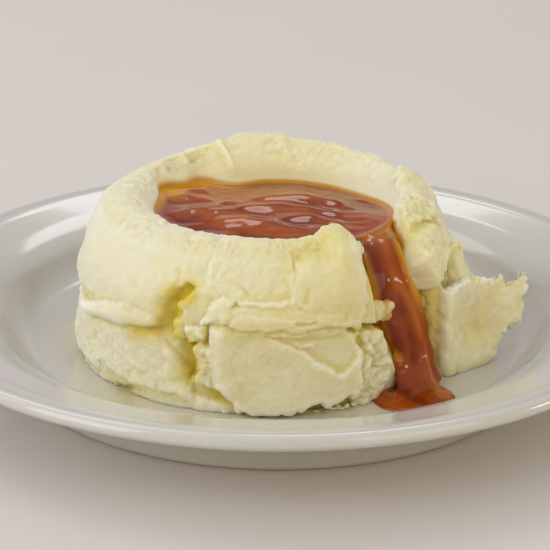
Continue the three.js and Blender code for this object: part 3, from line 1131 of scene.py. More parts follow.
@dataclass
class Stream:
    """The gravy's way from the pool over the spout and down to the plate."""

    route: tuple[Triple, ...] = (
        (20.4, -14.6, 38.4), (23.6, -21.6, 38.5), (25.2, -26.8, 37.0), (26.6, -30.0, 33.4),
        (28.2, -31.0, 28.4), (30.0, -30.6, 22.6), (31.8, -30.0, 16.8), (32.8, -31.2, 12.0),
        (32.8, -35.2, 9.2), (31.8, -40.2, 8.6),
    )
    left: tuple[float, ...] = (7.2, 7.0, 7.2, 8.4, 8.8, 8.4, 7.4, 7.4, 7.8, 7.6)
    right: tuple[float, ...] = (7.0, 5.2, 4.1, 3.9, 5.2, 5.0, 4.6, 4.6, 6.4, 7.6)
    thick: tuple[float, ...] = (1.2, 1.5, 1.7, 1.9, 1.9, 1.9, 1.9, 1.8, 1.3, 0.9)
    facing: float = 42.0
    readings: int = 200
    block: int = 4000

    def __post_init__(self) -> None:
        """Reads the route and its local axes at many places."""
        self.spots = smooth_path(self.route, self.readings)
        ahead = np.gradient(self.spots, axis=0)
        self.ahead = ahead / np.linalg.norm(ahead, axis=1, keepdims=True)
        facing = math.radians(self.facing)
        self.across = np.array([math.cos(facing), math.sin(facing), 0.0])
        outward = np.cross(self.ahead, self.across)
        self.outward = outward / np.linalg.norm(outward, axis=1, keepdims=True)
        self.reach_left, self.reach_right, self.half_thick = (
            smooth_path(values, self.readings)[:, 0] for values in (self.left, self.right, self.thick)
        )

    def locate(self, points: Array) -> tuple[Array, Array, Array]:
        """Finds places relative to the stream.

        Args:
            points: places in millimetres, one a row.

        Returns:
            The index of the nearest reading, how far across it, as a share of the half width with its
            sign, and how far out in front of its middle in millimetres.
        """
        index = np.empty(len(points), int)
        for start in range(0, len(points), self.block):
            part = slice(start, start + self.block)
            gap = points[part, None, :] - self.spots[None, :, :]
            index[part] = np.argmin(np.einsum("ijk,ijk->ij", gap, gap), axis=1)
        away = points - self.spots[index]
        across = away @ self.across
        reach = np.where(across < 0, self.reach_left[index], self.reach_right[index])
        return index, across / reach, np.einsum("ij,ij->i", away, self.outward[index])


# ---------------------------------------------------------------- mound


@dataclass
class Mound:
    """The moulded mound with its ring, its hollow and the layers pressed on its wall."""

    stream: Stream
    columns: int = 576
    rows: int = 146
    front_crowding: float = 0.38
    base: float = SEAT
    crest_radius: float = 33.3
    crest: float = 44.4
    crest_tilt: float = 2.0
    crest_start: float = 28.0
    wall_centre: Pair = MOUND_CENTRE
    crest_centre: Pair = (-3.0, -1.3)
    pool_centre: Pair = (-0.4, -5.8)
    pool_half: Pair = (27.5, 25.3)
    section: tuple[Pair, ...] = (
        (41.6, SEAT), (42.2, 9), (42.3, 14), (42.4, 20), (42.8, 26), (42.2, 32), (40.7, 37.2), (38.4, 41.4),
        (36, 43.7), (33.3, 44.4), (30.9, 43.6), (29, 41.9), (27.6, 39.6), (26.2, 37.8),
    )
    spout: Pair = (38.0, 57.0)
    spout_drop: float = 6.2
    ceiling: float = 47.0
    rises: tuple = (
        # azimuth from, to, how far the ring rises there, and over how many degrees it starts to
        (-190, -166, 1.4, 3), (96, 108, 2.0, 4), (-152, -92, -1.1, 12), (22, 33, 2.4, 3),
    )
    spout_heights: Pair = (36.0, 43.0)
    tuck: Triple = (-118.0, 40.0, 1.6)  # where the wall is drawn in: azimuth, degrees to each side, how far
    tuck_heights: Pair = (26.0, 34.0)
    smear_fray: Pair = (1.1, 0.5)  # how far coarse and fine waves move the outline of a layer
    cleft_fray: Pair = (1.2, 0.8)  # and the line of a cleft
    plain_smooth: float = 0.85
    pockets: tuple = (
        # where the pool reaches under the ring: azimuth, width in degrees, how far
        (-122, 11, 4.6), (-143, 10, 5.2),
    )
    inner_lumps: tuple = (
        # ridge, scoops and lumps on the hollow's side: azimuth, width in degrees, how far they stand in
        (-157.5, 1.7, 1.3), (-147.0, 5.0, -0.9), (-133.0, 5.5, -0.8), (-140.0, 2.4, 0.7), (-126.0, 2.6, 0.5),
    )
    waves: float = 0.36
    smooth_grain: Triple = (0.07, 0.07, 0.14)  # fine waves, crumbs and small crumbs on smooth mash
    torn_grain: Triple = (0.5, 1.5, 0.8)  # how much more of each there is where it is torn
    crumb_mean: float = 0.72
    bed_middle: Pair = (29.0, -27.0)
    bed_reach: float = 24.0
    bed_foot: float = 11.0
    bed_floor: float = -0.5  # how far in front of the stream's middle the wall may reach under it
    bed_side: float = 6.0  # and how much farther beside it
    crag: Crag = field(default_factory=lambda: Crag(11))

    def profile(self) -> Array:
        """The mean section, from under the mound up the wall, over the ring and into the hollow.

        Returns:
            One row for each place, as radius and height.
        """
        outline = evenly(smooth_path(self.section, 900), self.rows)
        under = np.array([(0, self.base), (16, self.base), (30, self.base), (38, self.base)])
        hollow = np.array([(24.5, 36.8), (20, 36.2), (10, 35.8), (0, 35.6)])
        return np.concatenate([under, outline, hollow])

    def pool_edge(self, azimuth: Array) -> Array:
        """How far the pool's edge is from its middle.

        Args:
            azimuth: azimuths in degrees.

        Returns:
            The distance at each azimuth, in millimetres.
        """
        angle = np.radians(azimuth)
        oval = 1 / np.hypot(np.sin(angle) / self.pool_half[0], np.cos(angle) / self.pool_half[1])
        for middle, width, reach in self.pockets:
            oval = oval + reach * hump(turn(azimuth, middle), width)
        return oval - 0.6 * hump(turn(azimuth, 160), 30)

    def place(self, radius: Array, height: Array, angle: Array) -> tuple[Array, Array, Array]:
        """Takes the mean mound to its real place.

        Args:
            radius: radii of the section, one row each.
            height: heights of the section, one row each.
            angle: even angles of the columns, in radians.

        Returns:
            The azimuth of each place in degrees, the places, and the directions that point out of them.
        """
        true_angle = angle - self.front_crowding * np.sin(angle)
        azimuth = np.degrees(true_angle)
        upper = smoothstep(height, self.crest_start, self.crest)
        inward = 1 - smoothstep(radius, self.pool_half[0], self.crest_radius)
        wall, ring, pool = (np.array(c) for c in (self.wall_centre, self.crest_centre, self.pool_centre))
        centre_out = wall + (ring - wall) * (upper**2)[..., None]
        centre_in = ring + (pool - ring) * inward[..., None]
        outside = (np.arange(len(radius)) <= np.argmax(height[:, 0])).reshape(-1, 1)
        centre = np.where(outside[..., None], centre_out, centre_in)
        stretch = np.where(outside, 1.0, mix(1.0, self.pool_edge(azimuth) / self.pool_half[0], inward))
        middle, half, depth = self.tuck
        tucked = depth * sector(azimuth, (middle - half, middle + half), 14.0) * (1 - inward)
        radius = radius - tucked * smoothstep(height, *self.tuck_heights)
        rise = -self.crest_tilt * np.cos(true_angle)
        for start, end, lift, soft in self.rises:
            rise = rise + lift * sector(azimuth, (start, end), soft)
        drop = self.spout_drop * sector(azimuth, self.spout, 6.0) * smoothstep(height, *self.spout_heights)
        away = np.stack([np.sin(true_angle), -np.cos(true_angle)], -1)
        flat = centre + away * (radius * stretch)[..., None]
        z = height + upper * (rise * (1 - inward) - drop)
        points = np.concatenate([flat, z[..., None]], -1)
        return azimuth, points, away

    def relief(self, azimuth: Array, height: Array, points: Array) -> tuple[Array, Array, Array]:
        """Works out how far the layers stand out, how crumbly each place is, and how much painted shade its
        clefts give it.

        Args:
            azimuth: the azimuth of each place, in degrees.
            height: its height on the mean section, in millimetres.
            points: the places on the mean mound.

        Returns:
            The distance in millimetres, then the crumbliness and the clefts' painted shade, each in 0..1.
        """
        warp = [self.crag.rough(points + shift, 5.0, 4) for shift in (0.0, 40.0)]
        fine = [self.crag.rough(points + shift, 1.7, 2) for shift in (80.0, 120.0)]

        def frayed(amount: float, shares: Pair) -> tuple[Array, Array]:
            """Where to read an outline so that its edge looks torn."""
            moves = [amount * (shares[0] * wide + shares[1] * small) for wide, small in zip(warp, fine)]
            return azimuth + moves[0] / ALONG_WALL, height + moves[1]

        level = np.zeros(azimuth.shape)
        smooth = np.full(azimuth.shape, self.plain_smooth)
        for smear in SMEARS:
            inside = smear.inside(*frayed(smear.torn, self.smear_fray))
            share = np.clip(inside / smear.edge, 0, 1)
            share = np.sqrt(1 - (1 - share) ** 2)
            level = mix(level, smear.level(azimuth, height), share)
            level += smear.lip * hump(inside - 0.9, 0.7)
            smooth = mix(smooth, smear.smooth, smoothstep(inside, -0.5, 1.0))
            smooth = smooth * (1 - 0.6 * hump(inside, 1.1) * min(smear.torn, 1.0))
        cleft_shade = np.zeros(azimuth.shape)
        for furrow in FURROWS:
            depth, yellow = furrow.depth_at(*frayed(furrow.jag, self.cleft_fray))
            level -= depth
            cleft_shade = np.maximum(cleft_shade, yellow)
        return level, 1 - smooth, cleft_shade

    def build(self, finish: bpy.types.Material) -> bpy.types.Object:
        """Makes the mound and dresses it.

        Args:
            finish: its material.

        Returns:
            The piece.
        """
        profile = self.profile()
        grid = RolledGrid(len(profile), self.columns)
        points, masks = self.surface(profile, grid.angles())
        mesh = grid.to_mesh("mash_mound", points, masks)
        return hand_over("mash_mound", mesh, Node.MASH, finish)

    def surface(self, profile: Array, angles: Array) -> tuple[Array, dict[str, Array]]:
        """Works out the mound's whole skin.

        Args:
            profile: the mean section, one row for each of its places.
            angles: the even angle of each column, in radians.

        Returns:
            The places, rows x columns x 3, and the masks that the finish reads.
        """
        radius, height = (profile[:, k:k + 1] * np.ones(self.columns) for k in (0, 1))
        angle = angles[None, :] * np.ones((len(profile), 1))
        azimuth, points, away = self.place(radius, height, angle)
        row = np.arange(len(profile))[:, None]
        outside = row <= np.argmax(profile[:, 1])
        flat = np.zeros(azimuth.shape + (1,))

        slope = np.gradient(profile, axis=0)
        slope /= np.linalg.norm(slope, axis=1, keepdims=True)
        upright = np.broadcast_to(-slope[:, 0][:, None, None], flat.shape)
        normal = np.concatenate([away * slope[:, 1][:, None, None], upright], -1)

        level, crumbly, cleft_shade = self.relief(azimuth, height, points)
        brim = hump(height - 43.6, 1.6) * (0.35 + 0.35 * self.crag.wave(points + 70.0, 9.0))
        crumbly = np.maximum(crumbly**1.5, brim)
        crumbly = np.where(outside, crumbly, np.maximum(0.08, brim))
        share = smoothstep(radius, 30.0, 41.0) * (1 - 0.8 * smoothstep(height, 41.0, 44.4)) * outside
        level *= share * smoothstep(row, 3, 5)
        fine = self.grain(points, crumbly) + self.hollow(azimuth, radius) * ~outside
        fine = fine * (smoothstep(radius, 27.0, 30.0) * smoothstep(row, 3, 6))

        around_flow, up_flow = self.overhang(level, azimuth, profile)
        around = np.stack([-away[..., 1], away[..., 0], flat[..., 0]], -1)
        points = points + np.concatenate([away, flat], -1) * level[..., None]
        points += normal * fine[..., None]
        points += around * around_flow[..., None] + np.array([0, 0, 1]) * up_flow[..., None]
        high = np.maximum(points[..., 2], self.base)
        points[..., 2] = np.minimum(high, self.ceiling + np.tanh(np.maximum(high - self.ceiling, 0.0)))
        points, washed = self.make_way(points)

        # Painted light and shade by the relief, painted shade in low places and clefts, and where gravy has
        # stained the mash.
        masks = {
            "painted_light_shade": self.painted_light_shade(azimuth, height, level, level + fine),
            "deep": self.yellow(azimuth, height, level + fine, cleft_shade, outside),
            "stain": np.maximum(self.soaked(azimuth, radius, points) * ~outside, washed),
        }
        return points, masks

    def grain(self, points: Array, crumbly: Array) -> Array:
        """The fine relief of the mash, stronger where it is crumbly.

        Args:
            points: the places on the mean mound.
            crumbly: how crumbly each is, in 0..1.

        Returns:
            How far each place stands out, in millimetres.
        """
        bent = points + 1.3 * self.crag.rough(points + 31.0, 3.4, 2)[..., None]
        patterns = (
            self.crag.rough(points + 7.0, 2.4, 3),
            self.crag.crumbs(bent, 3.1) - self.crumb_mean,
            self.crag.crumbs(bent + 3.0, 1.3) - self.crumb_mean,
        )
        fine = self.waves * self.crag.rough(points, 9.0, 2)
        for pattern, smooth, torn in zip(patterns, self.smooth_grain, self.torn_grain):
            fine += (smooth + torn * crumbly) * pattern
        return fine

    def painted_light_shade(self, azimuth: Array, height: Array, level: Array, bumpy: Array) -> Array:
        """The painted light and shade of the mash: 0.5 where it is plain, 1 for a painted highlight on torn
        edges and 0 for painted shade in dips.
        """
        painted_light_shade = 0.5 + 1.05 * (bumpy - softened(bumpy, 7)) + 1.3 * (level - softened(level, 10))
        # Painted shade: the block's face under the spout is darker.
        return painted_light_shade - 0.16 * sector(azimuth, (4, 34), 10) * smoothstep(height, 28.0, 32.0)

    def yellow(self, azimuth: Array, height: Array, bumpy: Array, cleft_shade: Array, outside: Array) -> Array:
        """How much painted shade, as yellow, the mash gets.

        Args:
            azimuth: the azimuth of each place, in degrees.
            height: its height on the mean section.
            bumpy: how far it stands out, with the fine relief.
            cleft_shade: the painted shade that the clefts add.
            outside: True for the rows of the outer wall.

        Returns:
            The painted shade in 0..1, strongest in low places between high ones and in clefts.
        """
        wide = softened(envelope(softened(bumpy, 2), 9), 16)
        shadowed = smoothstep(wide - bumpy, 1.3, 5.0) * (1 - 0.6 * smoothstep(height, 34.0, 39.0))
        deep = np.maximum(shadowed, cleft_shade)
        # Painted shade: a little more yellow over the wall's front and right, and more in its upper part
        # right of the middle, where less light falls.
        warm = 0.08 * sector(azimuth, (4, 50), 16) * smoothstep(height, 25.0, 31.0)
        warm += 0.12 * sector(azimuth, (-36, 96), 16)
        # Inside the ring only the back of the hollow gets painted shade.
        return np.where(outside, deep + (1 - deep) * warm, 0.2 * sector(azimuth, (140, 236), 24))

    def soaked(self, azimuth: Array, radius: Array, points: Array) -> Array:
        """How much gravy has soaked into each place above the pool, most over its pockets.

        Args:
            azimuth: the azimuth of each place, in degrees.
            radius: its radius on the mean section.
            points: the finished places.

        Returns:
            The share of gravy at each place, in 0..1.
        """
        reach = 0.8 + sum(1.3 * hump(turn(azimuth, middle), width) for middle, width, _ in self.pockets)
        above = points[..., 2] - POOL_LEVEL - slant(points)
        return (1 - smoothstep(above, 0.2 * reach, reach)) * smoothstep(radius, 26.0, 27.4)

    def hollow(self, azimuth: Array, radius: Array) -> Array:
        """How far the inner side of the ring stands in over the pool at each place.

        Args:
            azimuth: the azimuth of each place, in degrees.
            radius: its radius on the mean section.

        Returns:
            The distance at each place, in millimetres.
        """
        inner = smoothstep(radius, 27.4, 29.0) * (1 - smoothstep(radius, 32.6, 33.3))
        behind = turn(azimuth, 180.0)
        face = 0.9 * smoothstep(behind, -60.0, -15.0) * (1 - smoothstep(behind, 20.5, 23.5))
        return inner * sum((reach * hump(turn(azimuth, middle), width)
                            for middle, width, reach in self.inner_lumps), face)

    def overhang(self, level: Array, azimuth: Array, profile: Array) -> tuple[Array, Array]:
        """Lets the high side of each step lean out over the low side.

        Args:
            level: how far each place stands out.
            azimuth: the azimuth of each place, in degrees.
            profile: the mean section.

        Returns:
            How far each place moves round the mound, and how far it moves up, in millimetres.
        """
        even = softened(level, 2)
        spacing = np.abs(turn(np.roll(azimuth, -1, 1), 0) - turn(np.roll(azimuth, 1, 1), 0))
        spacing = np.minimum(spacing, 360 - spacing) * ALONG_WALL
        across = (np.roll(even, -1, 1) - np.roll(even, 1, 1)) / spacing
        steps = np.maximum(np.gradient(profile[:, 1])[:, None], 0.08)
        along = np.gradient(even, axis=0) / steps
        high = smoothstep(even - softened(level, 12), -0.1, 0.7)
        return -0.55 * np.tanh(across) * high, -0.6 * np.tanh(along) * high

    def make_way(self, points: Array) -> tuple[Array, Array]:
        """Presses the wall back behind the stream, so that the gravy lies in a bed.

        Args:
            points: rows x columns x 3 places.

        Returns:
            The places with the bed pressed in, and how much gravy has stained each place.
        """
        shape = points.shape[:2]
        flat = points.reshape(-1, 3)
        near = np.linalg.norm(flat[:, :2] - np.array(self.bed_middle), axis=1) < self.bed_reach
        index, across, out = self.stream.locate(flat[near])
        edge, height = np.abs(across), self.stream.spots[index, 2]
        high = height > self.bed_foot
        narrow = smoothstep(height, 35.0, 38.0)
        beside = smoothstep(edge + 0.16 * narrow, 0.93, 1.25 - 0.08 * narrow)
        limit = self.bed_floor + self.bed_side * beside
        push = np.zeros(len(flat))
        push[near] = np.where(high, np.maximum(out - limit, 0.0), 0.0)
        direction = np.zeros(flat.shape)
        direction[near] = self.stream.outward[index]
        push = softened(envelope(push.reshape(shape), 2), 5)
        points = points - direction.reshape(points.shape) * push[..., None]
        stained = np.zeros(len(flat))
        stained[near] = (1 - smoothstep(edge, 0.9, 1.02)) * smoothstep(out, -5.0, -1.0) * high
        return points, stained.reshape(shape)


# ---------------------------------------------------------------- smear that stands out at the right


@dataclass
class Flap:
    """The thin smear of mash thrown out beside the mound, with a ragged upper edge."""

    route: tuple[Pair, ...] = (
        (32.4, -25.4), (35.8, -27.6), (38.8, -27.8), (41.7, -26.2), (46.5, -22.6), (49.6, -20.0),
        (54.5, -15.6), (57.1, -13.4), (59.2, -11.8),
    )
    top: tuple[Pair, ...] = (
        # x and height along the upper edge
        (32.0, 30.5), (36.0, 29.4), (38.9, 27.8), (40.7, 28.4), (42.3, 28.8), (44.2, 30.0), (45.4, 29.4),
        (46.8, 28.4), (48.9, 27.2), (49.9, 27.9), (51.7, 28.0), (52.8, 26.6), (53.9, 25.4), (55.2, 25.3),
        (56.0, 25.6), (56.7, 27.2), (57.5, 27.6), (58.6, 26.4), (59.2, 25.0),
    )
    bottom: tuple[Pair, ...] = (
        # x and height along the lower edge, which leaves the plate half way out
        (32.0, SEAT), (48.4, SEAT), (50.6, 8.3), (52.4, 9.8), (52.7, 13.3), (54.5, 14.0), (57.1, 15.2),
        (57.9, 18.8), (59.2, 23.4),
    )
    thick: tuple[Pair, ...] = (
        # x and thickness
        (32.0, 14.0), (38.0, 11.0), (42.0, 7.5), (46.0, 5.6), (50.0, 4.2), (55.0, 2.8), (59.2, 1.4),
    )
    lean: float = 2.6
    tip: float = 59.8
    crumb_mean: float = 0.7
    across: int = 180
    up: int = 84
    layers: int = 3
    readings: int = 500
    crag: Crag = field(default_factory=lambda: Crag(29))

    def build(self, finish: bpy.types.Material) -> bpy.types.Object:
        """Makes the smear and dresses it.

        Args:
            finish: its material.

        Returns:
            The piece.
        """
        bm = bmesh.new()
        bmesh.ops.create_cube(bm, size=1.0)
        for axis, cuts in ((0, self.across), (2, self.up), (1, self.layers)):
            edges = [e for e in bm.edges if abs(e.verts[0].co[axis] - e.verts[1].co[axis]) > 0.9]
            bmesh.ops.subdivide_edges(bm, edges=edges, cuts=cuts, use_grid_fill=True)
        bmesh.ops.recalc_face_normals(bm, faces=bm.faces)
        mesh = write_mesh(bm, "mash_smear")
        unit = read_vertices(mesh) * MM + 0.5
        points, rim = self.shape(unit)
        place_vertices(mesh, points)
        bent = points + 0.9 * self.crag.rough(points + 9.0, 2.6, 2)[:, None]
        lumps = self.crag.crumbs(bent, 2.1) - self.crumb_mean
        fine = 0.35 * self.crag.rough(points, 6.0, 2) + 0.16 * self.crag.rough(points, 2.2, 3)
        fine += (0.22 + 1.2 * rim) * lumps + 0.3 * (self.crag.crumbs(bent + 5.0, 4.2) - self.crumb_mean)
        points = points + read_normals(mesh) * fine[:, None]
        points[:, 2] = np.maximum(points[:, 2], SEAT)
        points[:, 0] = np.minimum(points[:, 0], self.tip)
        place_vertices(mesh, points)
        # Painted highlight on the ragged rim and its lumps, and painted light and shade by the fine relief.
        set_mask(mesh, "painted_light_shade", 0.5 + 0.5 * rim * smoothstep(lumps, -0.2, 0.2) + 0.5 * (fine - 0.1))
        # Painted shade: yellower near the plate, in the middle of the face and in the groove at the left.
        under = 1 - smoothstep(points[:, 2], 8.0, 10.5)
        middle_shade = 0.26 * hump(points[:, 0] - 47.0, 6.0) * hump(points[:, 2] - 18.0, 7.0)
        groove_shade = (1 - smoothstep(points[:, 0], 36.4, 38.2)) * (0.6 + 0.5 * self.crag.wave(points + 3.0, 5.0))
        set_mask(mesh, "deep", np.maximum(np.maximum(0.75 * groove_shade, 0.2 * under), middle_shade))
        set_mask(mesh, "stain", np.zeros(len(points)))
        return hand_over("mash_smear", mesh, Node.MASH, finish)

    def shape(self, unit: Array) -> tuple[Array, Array]:
        """Takes a unit box to the smear.

        Args:
            unit: places in the box, with the share of the way out, through and up.

        Returns:
            The places in millimetres, and how near each is to the ragged edge, in 0..1.
        """
        out, through, up = unit.T
        path = evenly(smooth_path(self.route, self.readings), self.readings)
        ahead = np.gradient(path, axis=0)
        ahead /= np.linalg.norm(ahead, axis=1, keepdims=True)
        index = np.clip((out * (self.readings - 1)).astype(int), 0, self.readings - 1)
        spot, forward = path[index], ahead[index]
        x = spot[:, 0]
        top, bottom, thick = (np.interp(x, *zip(*table)) for table in (self.top, self.bottom, self.thick))
        line = np.stack([x, 0 * x, 0 * x], -1)
        top = top + 0.5 * self.crag.rough(line + 9, 1.8, 3) * smoothstep(x, 38.0, 42.0)
        bottom = bottom + 0.4 * self.crag.rough(line + 19, 1.8, 2) * smoothstep(x, 49.0, 51.0)
        height = mix(bottom, top, up)
        end = smoothstep(out, 0.93, 1.0)
        rim = np.maximum(smoothstep(height, top - 2.2, top), end)
        rim = np.maximum(rim, (1 - smoothstep(height, bottom, bottom + 1.6)) * smoothstep(x, 50.0, 52.0))
        rim = rim * smoothstep(x, 37.0, 41.0)
        slim = 1 - 0.6 * smoothstep(up, 0.4, 1.0) * smoothstep(x, 36.0, 42.0)
        slim *= 1 - 0.65 * smoothstep(rim, 0.4, 1.0)
        slim *= 1 - 0.4 * (1 - smoothstep(up, 0.0, 0.14))
        crease = x - 39.4 - 0.1 * np.maximum(16.0 - height, 0.0)
        rise = np.clip((height - 7.4) / 21.0, 0.0, 1.2)
        face = 0.8 * hump(crease, 1.6) - 1.1 * hump(x - 45.0, 3.8) * np.sin(np.pi * rise)
        face += 0.7 * smoothstep(x, 50.0, 58.0)
        face -= 0.8 * hump(x - 36.4, 1.5) * smoothstep(height, 8.0, 12.0)
        folds = np.stack([x, 0.45 * height, 0 * x + 5.0], -1)
        face += 0.9 * self.crag.rough(folds, 5.5, 2) * smoothstep(x, 34.0, 38.0)
        side = face - through * thick * slim
        back = self.lean * rise * smoothstep(out, 0.2, 0.5)
        curl = 0.6 * end * self.crag.rough(np.stack([height, 0 * x, 0 * x + 3], -1), 3.0, 3)
        px = x + side * forward[:, 1] + curl * forward[:, 0]
        py = spot[:, 1] - side * forward[:, 0] + back + curl * forward[:, 1]
        return np.stack([px, py, height], -1), rim


# ---------------------------------------------------------------- lumps and crumbs


@dataclass
class Lumps:
    """Loose lumps that stick to the mound, and small crumbs at its torn edges and foot."""

    stream: Stream
    big: tuple = (
        # middle and half sizes: lumps under the spout, at its lips, and folds behind the smear at the right
        (22.6, -37.4, 27.4, 2.3, 2.0, 2.4), (24.6, -36.4, 28.2, 1.7, 1.7, 1.5),
        (20.8, -37.8, 25.8, 1.5, 1.5, 1.2), (24.4, -36.8, 25.8, 1.3, 1.3, 1.2),
        (13.2, -32.6, 43.3, 1.6, 1.6, 1.3), (15.4, -33.2, 42.6, 1.7, 1.7, 1.1),
        (17.8, -34.2, 40.6, 1.4, 1.6, 1.5), (41.0, -13.4, 34.4, 1.5, 1.7, 1.1),
        (42.4, -12.4, 33.2, 1.3, 1.7, 1.1), (40.0, -15.4, 34.6, 1.3, 1.5, 1.0),
        (40.2, -14.8, 30.0, 3.6, 4.0, 4.6), (41.0, -16.4, 27.6, 3.7, 4.2, 4.6),
        (42.0, -18.0, 25.4, 3.8, 4.0, 4.6),
    )
    scatter: tuple = (
        # azimuth from, to, height from, to, radius, how many
        (4, 28, 7.2, 8.6, 43.8, 6),
        (30, 41, 8.0, 20.0, 43.2, 6),
        (-14, -5, 7.2, 8.4, 43.4, 3),
        (110, 300, 7.2, 8.0, 43.0, 12),
    )
    size: Pair = (0.6, 1.4)
    flatness: float = 0.75
    crumb_mean: float = 0.75
    # an even share of the painted shade colour that the lumps get all over
    yellow: float = 0.2
    voxel: float = 0.28
    smoothing: int = 3
    crag: Crag = field(default_factory=lambda: Crag(41))

    def build(self, finish: bpy.types.Material) -> bpy.types.Object:
        """Makes the lumps and crumbs as one piece and dresses it.

        Args:
            finish: its material.

        Returns:
            The piece.
        """
        chance = np.random.default_rng(5)
        bm = bmesh.new()
        for x, y, z, *sizes in self.big:
            matrix = Matrix.Translation((x, y, z)) @ Matrix.Diagonal((*sizes, 1.0))
            bmesh.ops.create_icosphere(bm, subdivisions=4, radius=1.0, matrix=matrix)
        for az_from, az_to, low, high, radius, count in self.scatter:
            for _ in range(count):
                angle = math.radians(chance.uniform(az_from, az_to))
                reach = radius + chance.uniform(-0.9, 0.5)
                size = chance.uniform(*self.size) ** 1.3
                x = MOUND_CENTRE[0] + reach * math.sin(angle)
                y = MOUND_CENTRE[1] - reach * math.cos(angle)
                place = Matrix.Translation((x, y, chance.uniform(low, high)))
                turned = chance.uniform(0, math.tau)
                spin = Matrix.Rotation(turned, 4, Vector(chance.normal(size=3)).normalized())
                squash = Matrix.Diagonal((size, size * chance.uniform(0.6, 1.0), size * self.flatness, 1.0))
                bmesh.ops.create_icosphere(bm, subdivisions=3, radius=1.0, matrix=place @ spin @ squash)
        mesh = write_mesh(bm, "mash_crumbs")
        points = read_vertices(mesh) * MM
        place_vertices(mesh, points)
        bent = points + 0.8 * self.crag.rough(points + 13.0, 2.0, 2)[:, None]
        calm = 1 - 0.75 * smoothstep(points[:, 0], 37.0, 38.5) * (1 - smoothstep(points[:, 2], 32.0, 34.0))
        crumbs = self.crag.crumbs(bent, 1.5) - self.crumb_mean
        swell = 0.5 * self.crag.rough(points, 2.2, 3) + 1.2 * calm * crumbs
        points = points + read_normals(mesh) * swell[:, None]
        points[:, 2] = np.maximum(points[:, 2], SEAT)
        place_vertices(mesh, points)
        mesh = remeshed(mesh, self.voxel * MM)
        relax(mesh, self.smoothing)
        points = read_vertices(mesh)
        _, across, out = self.stream.locate(points)
        # Lighter and darker at random through the painted light and shade colours, and the even painted
        # shade.
        set_mask(mesh, "painted_light_shade", 0.55 + 0.3 * self.crag.rough(points, 2.2, 3))
        set_mask(mesh, "deep", np.full(len(points), self.yellow))
        coated = (1 - smoothstep(out, 2.0, 4.0)) * (1 - smoothstep(np.abs(across), 0.7, 1.1))
        set_mask(mesh, "stain", coated * smoothstep(points[:, 2], 20.0, 22.0))
        return hand_over("mash_crumbs", mesh, Node.MASH, finish)


# ---------------------------------------------------------------- gravy


@dataclass(frozen=True)
class Fold:
    """A soft ridge on the pool, along a line of (x, y) places."""

    path: tuple[Pair, ...]
    height: float
    width: float

    def height_at(self, flat: Array) -> Array:
        """How high the ridge is at each (x, y) place.

        Args:
            flat: (x, y) places, one a row.

        Returns:
            The height at each place, in millimetres.
        """
        line = smooth_path(self.path, 60)
        away = np.full(len(flat), np.inf)
        for spot in line:
            away = np.minimum(away, np.sum((flat - spot) ** 2, axis=1))
        return self.height * np.exp(-away / self.width**2)


FOLDS = (
    Fold(((-14, -9), (-5, -5), (3, -4), (12, -8)), 0.5, 2.6),
    Fold(((-12, -16), (-4, -15), (4, -19)), 0.45, 2.4),
    Fold(((2, -13), (8, -12), (13, -15)), 0.4, 2.2),
    Fold(((-20, -8), (-15, -5), (-12, -2)), 0.35, 2.2),
    Fold(((-2, 1), (6, 3), (13, 0)), 0.4, 2.4),
    Fold(((-22, 3), (-21, 8), (-17, 12)), 0.35, 2.6),
)
# Where the pool starts to fall away towards its back edge.
SWELL = (
    (-28, 6), (-25.6, 7), (-21.7, 3.1), (-16.9, 0.9), (-14.4, -2.6), (-9.7, -2), (-6.2, 2.8),
    (-1.5, 7.2), (5.7, 7.4), (12.8, 1.8), (17.3, -4.1), (21.8, -9.2), (26.6, -10.5),
)


def slant(points: Array) -> Array:
    """How far the pool's skin lies above its level, below 0 towards the back edge."""
    behind = points[..., 1] - np.interp(points[..., 0], *smooth_path(SWELL, 160).T)
    return -0.075 * np.sqrt(behind**2 + 0.4) * smoothstep(behind, -2.0, 0.0)


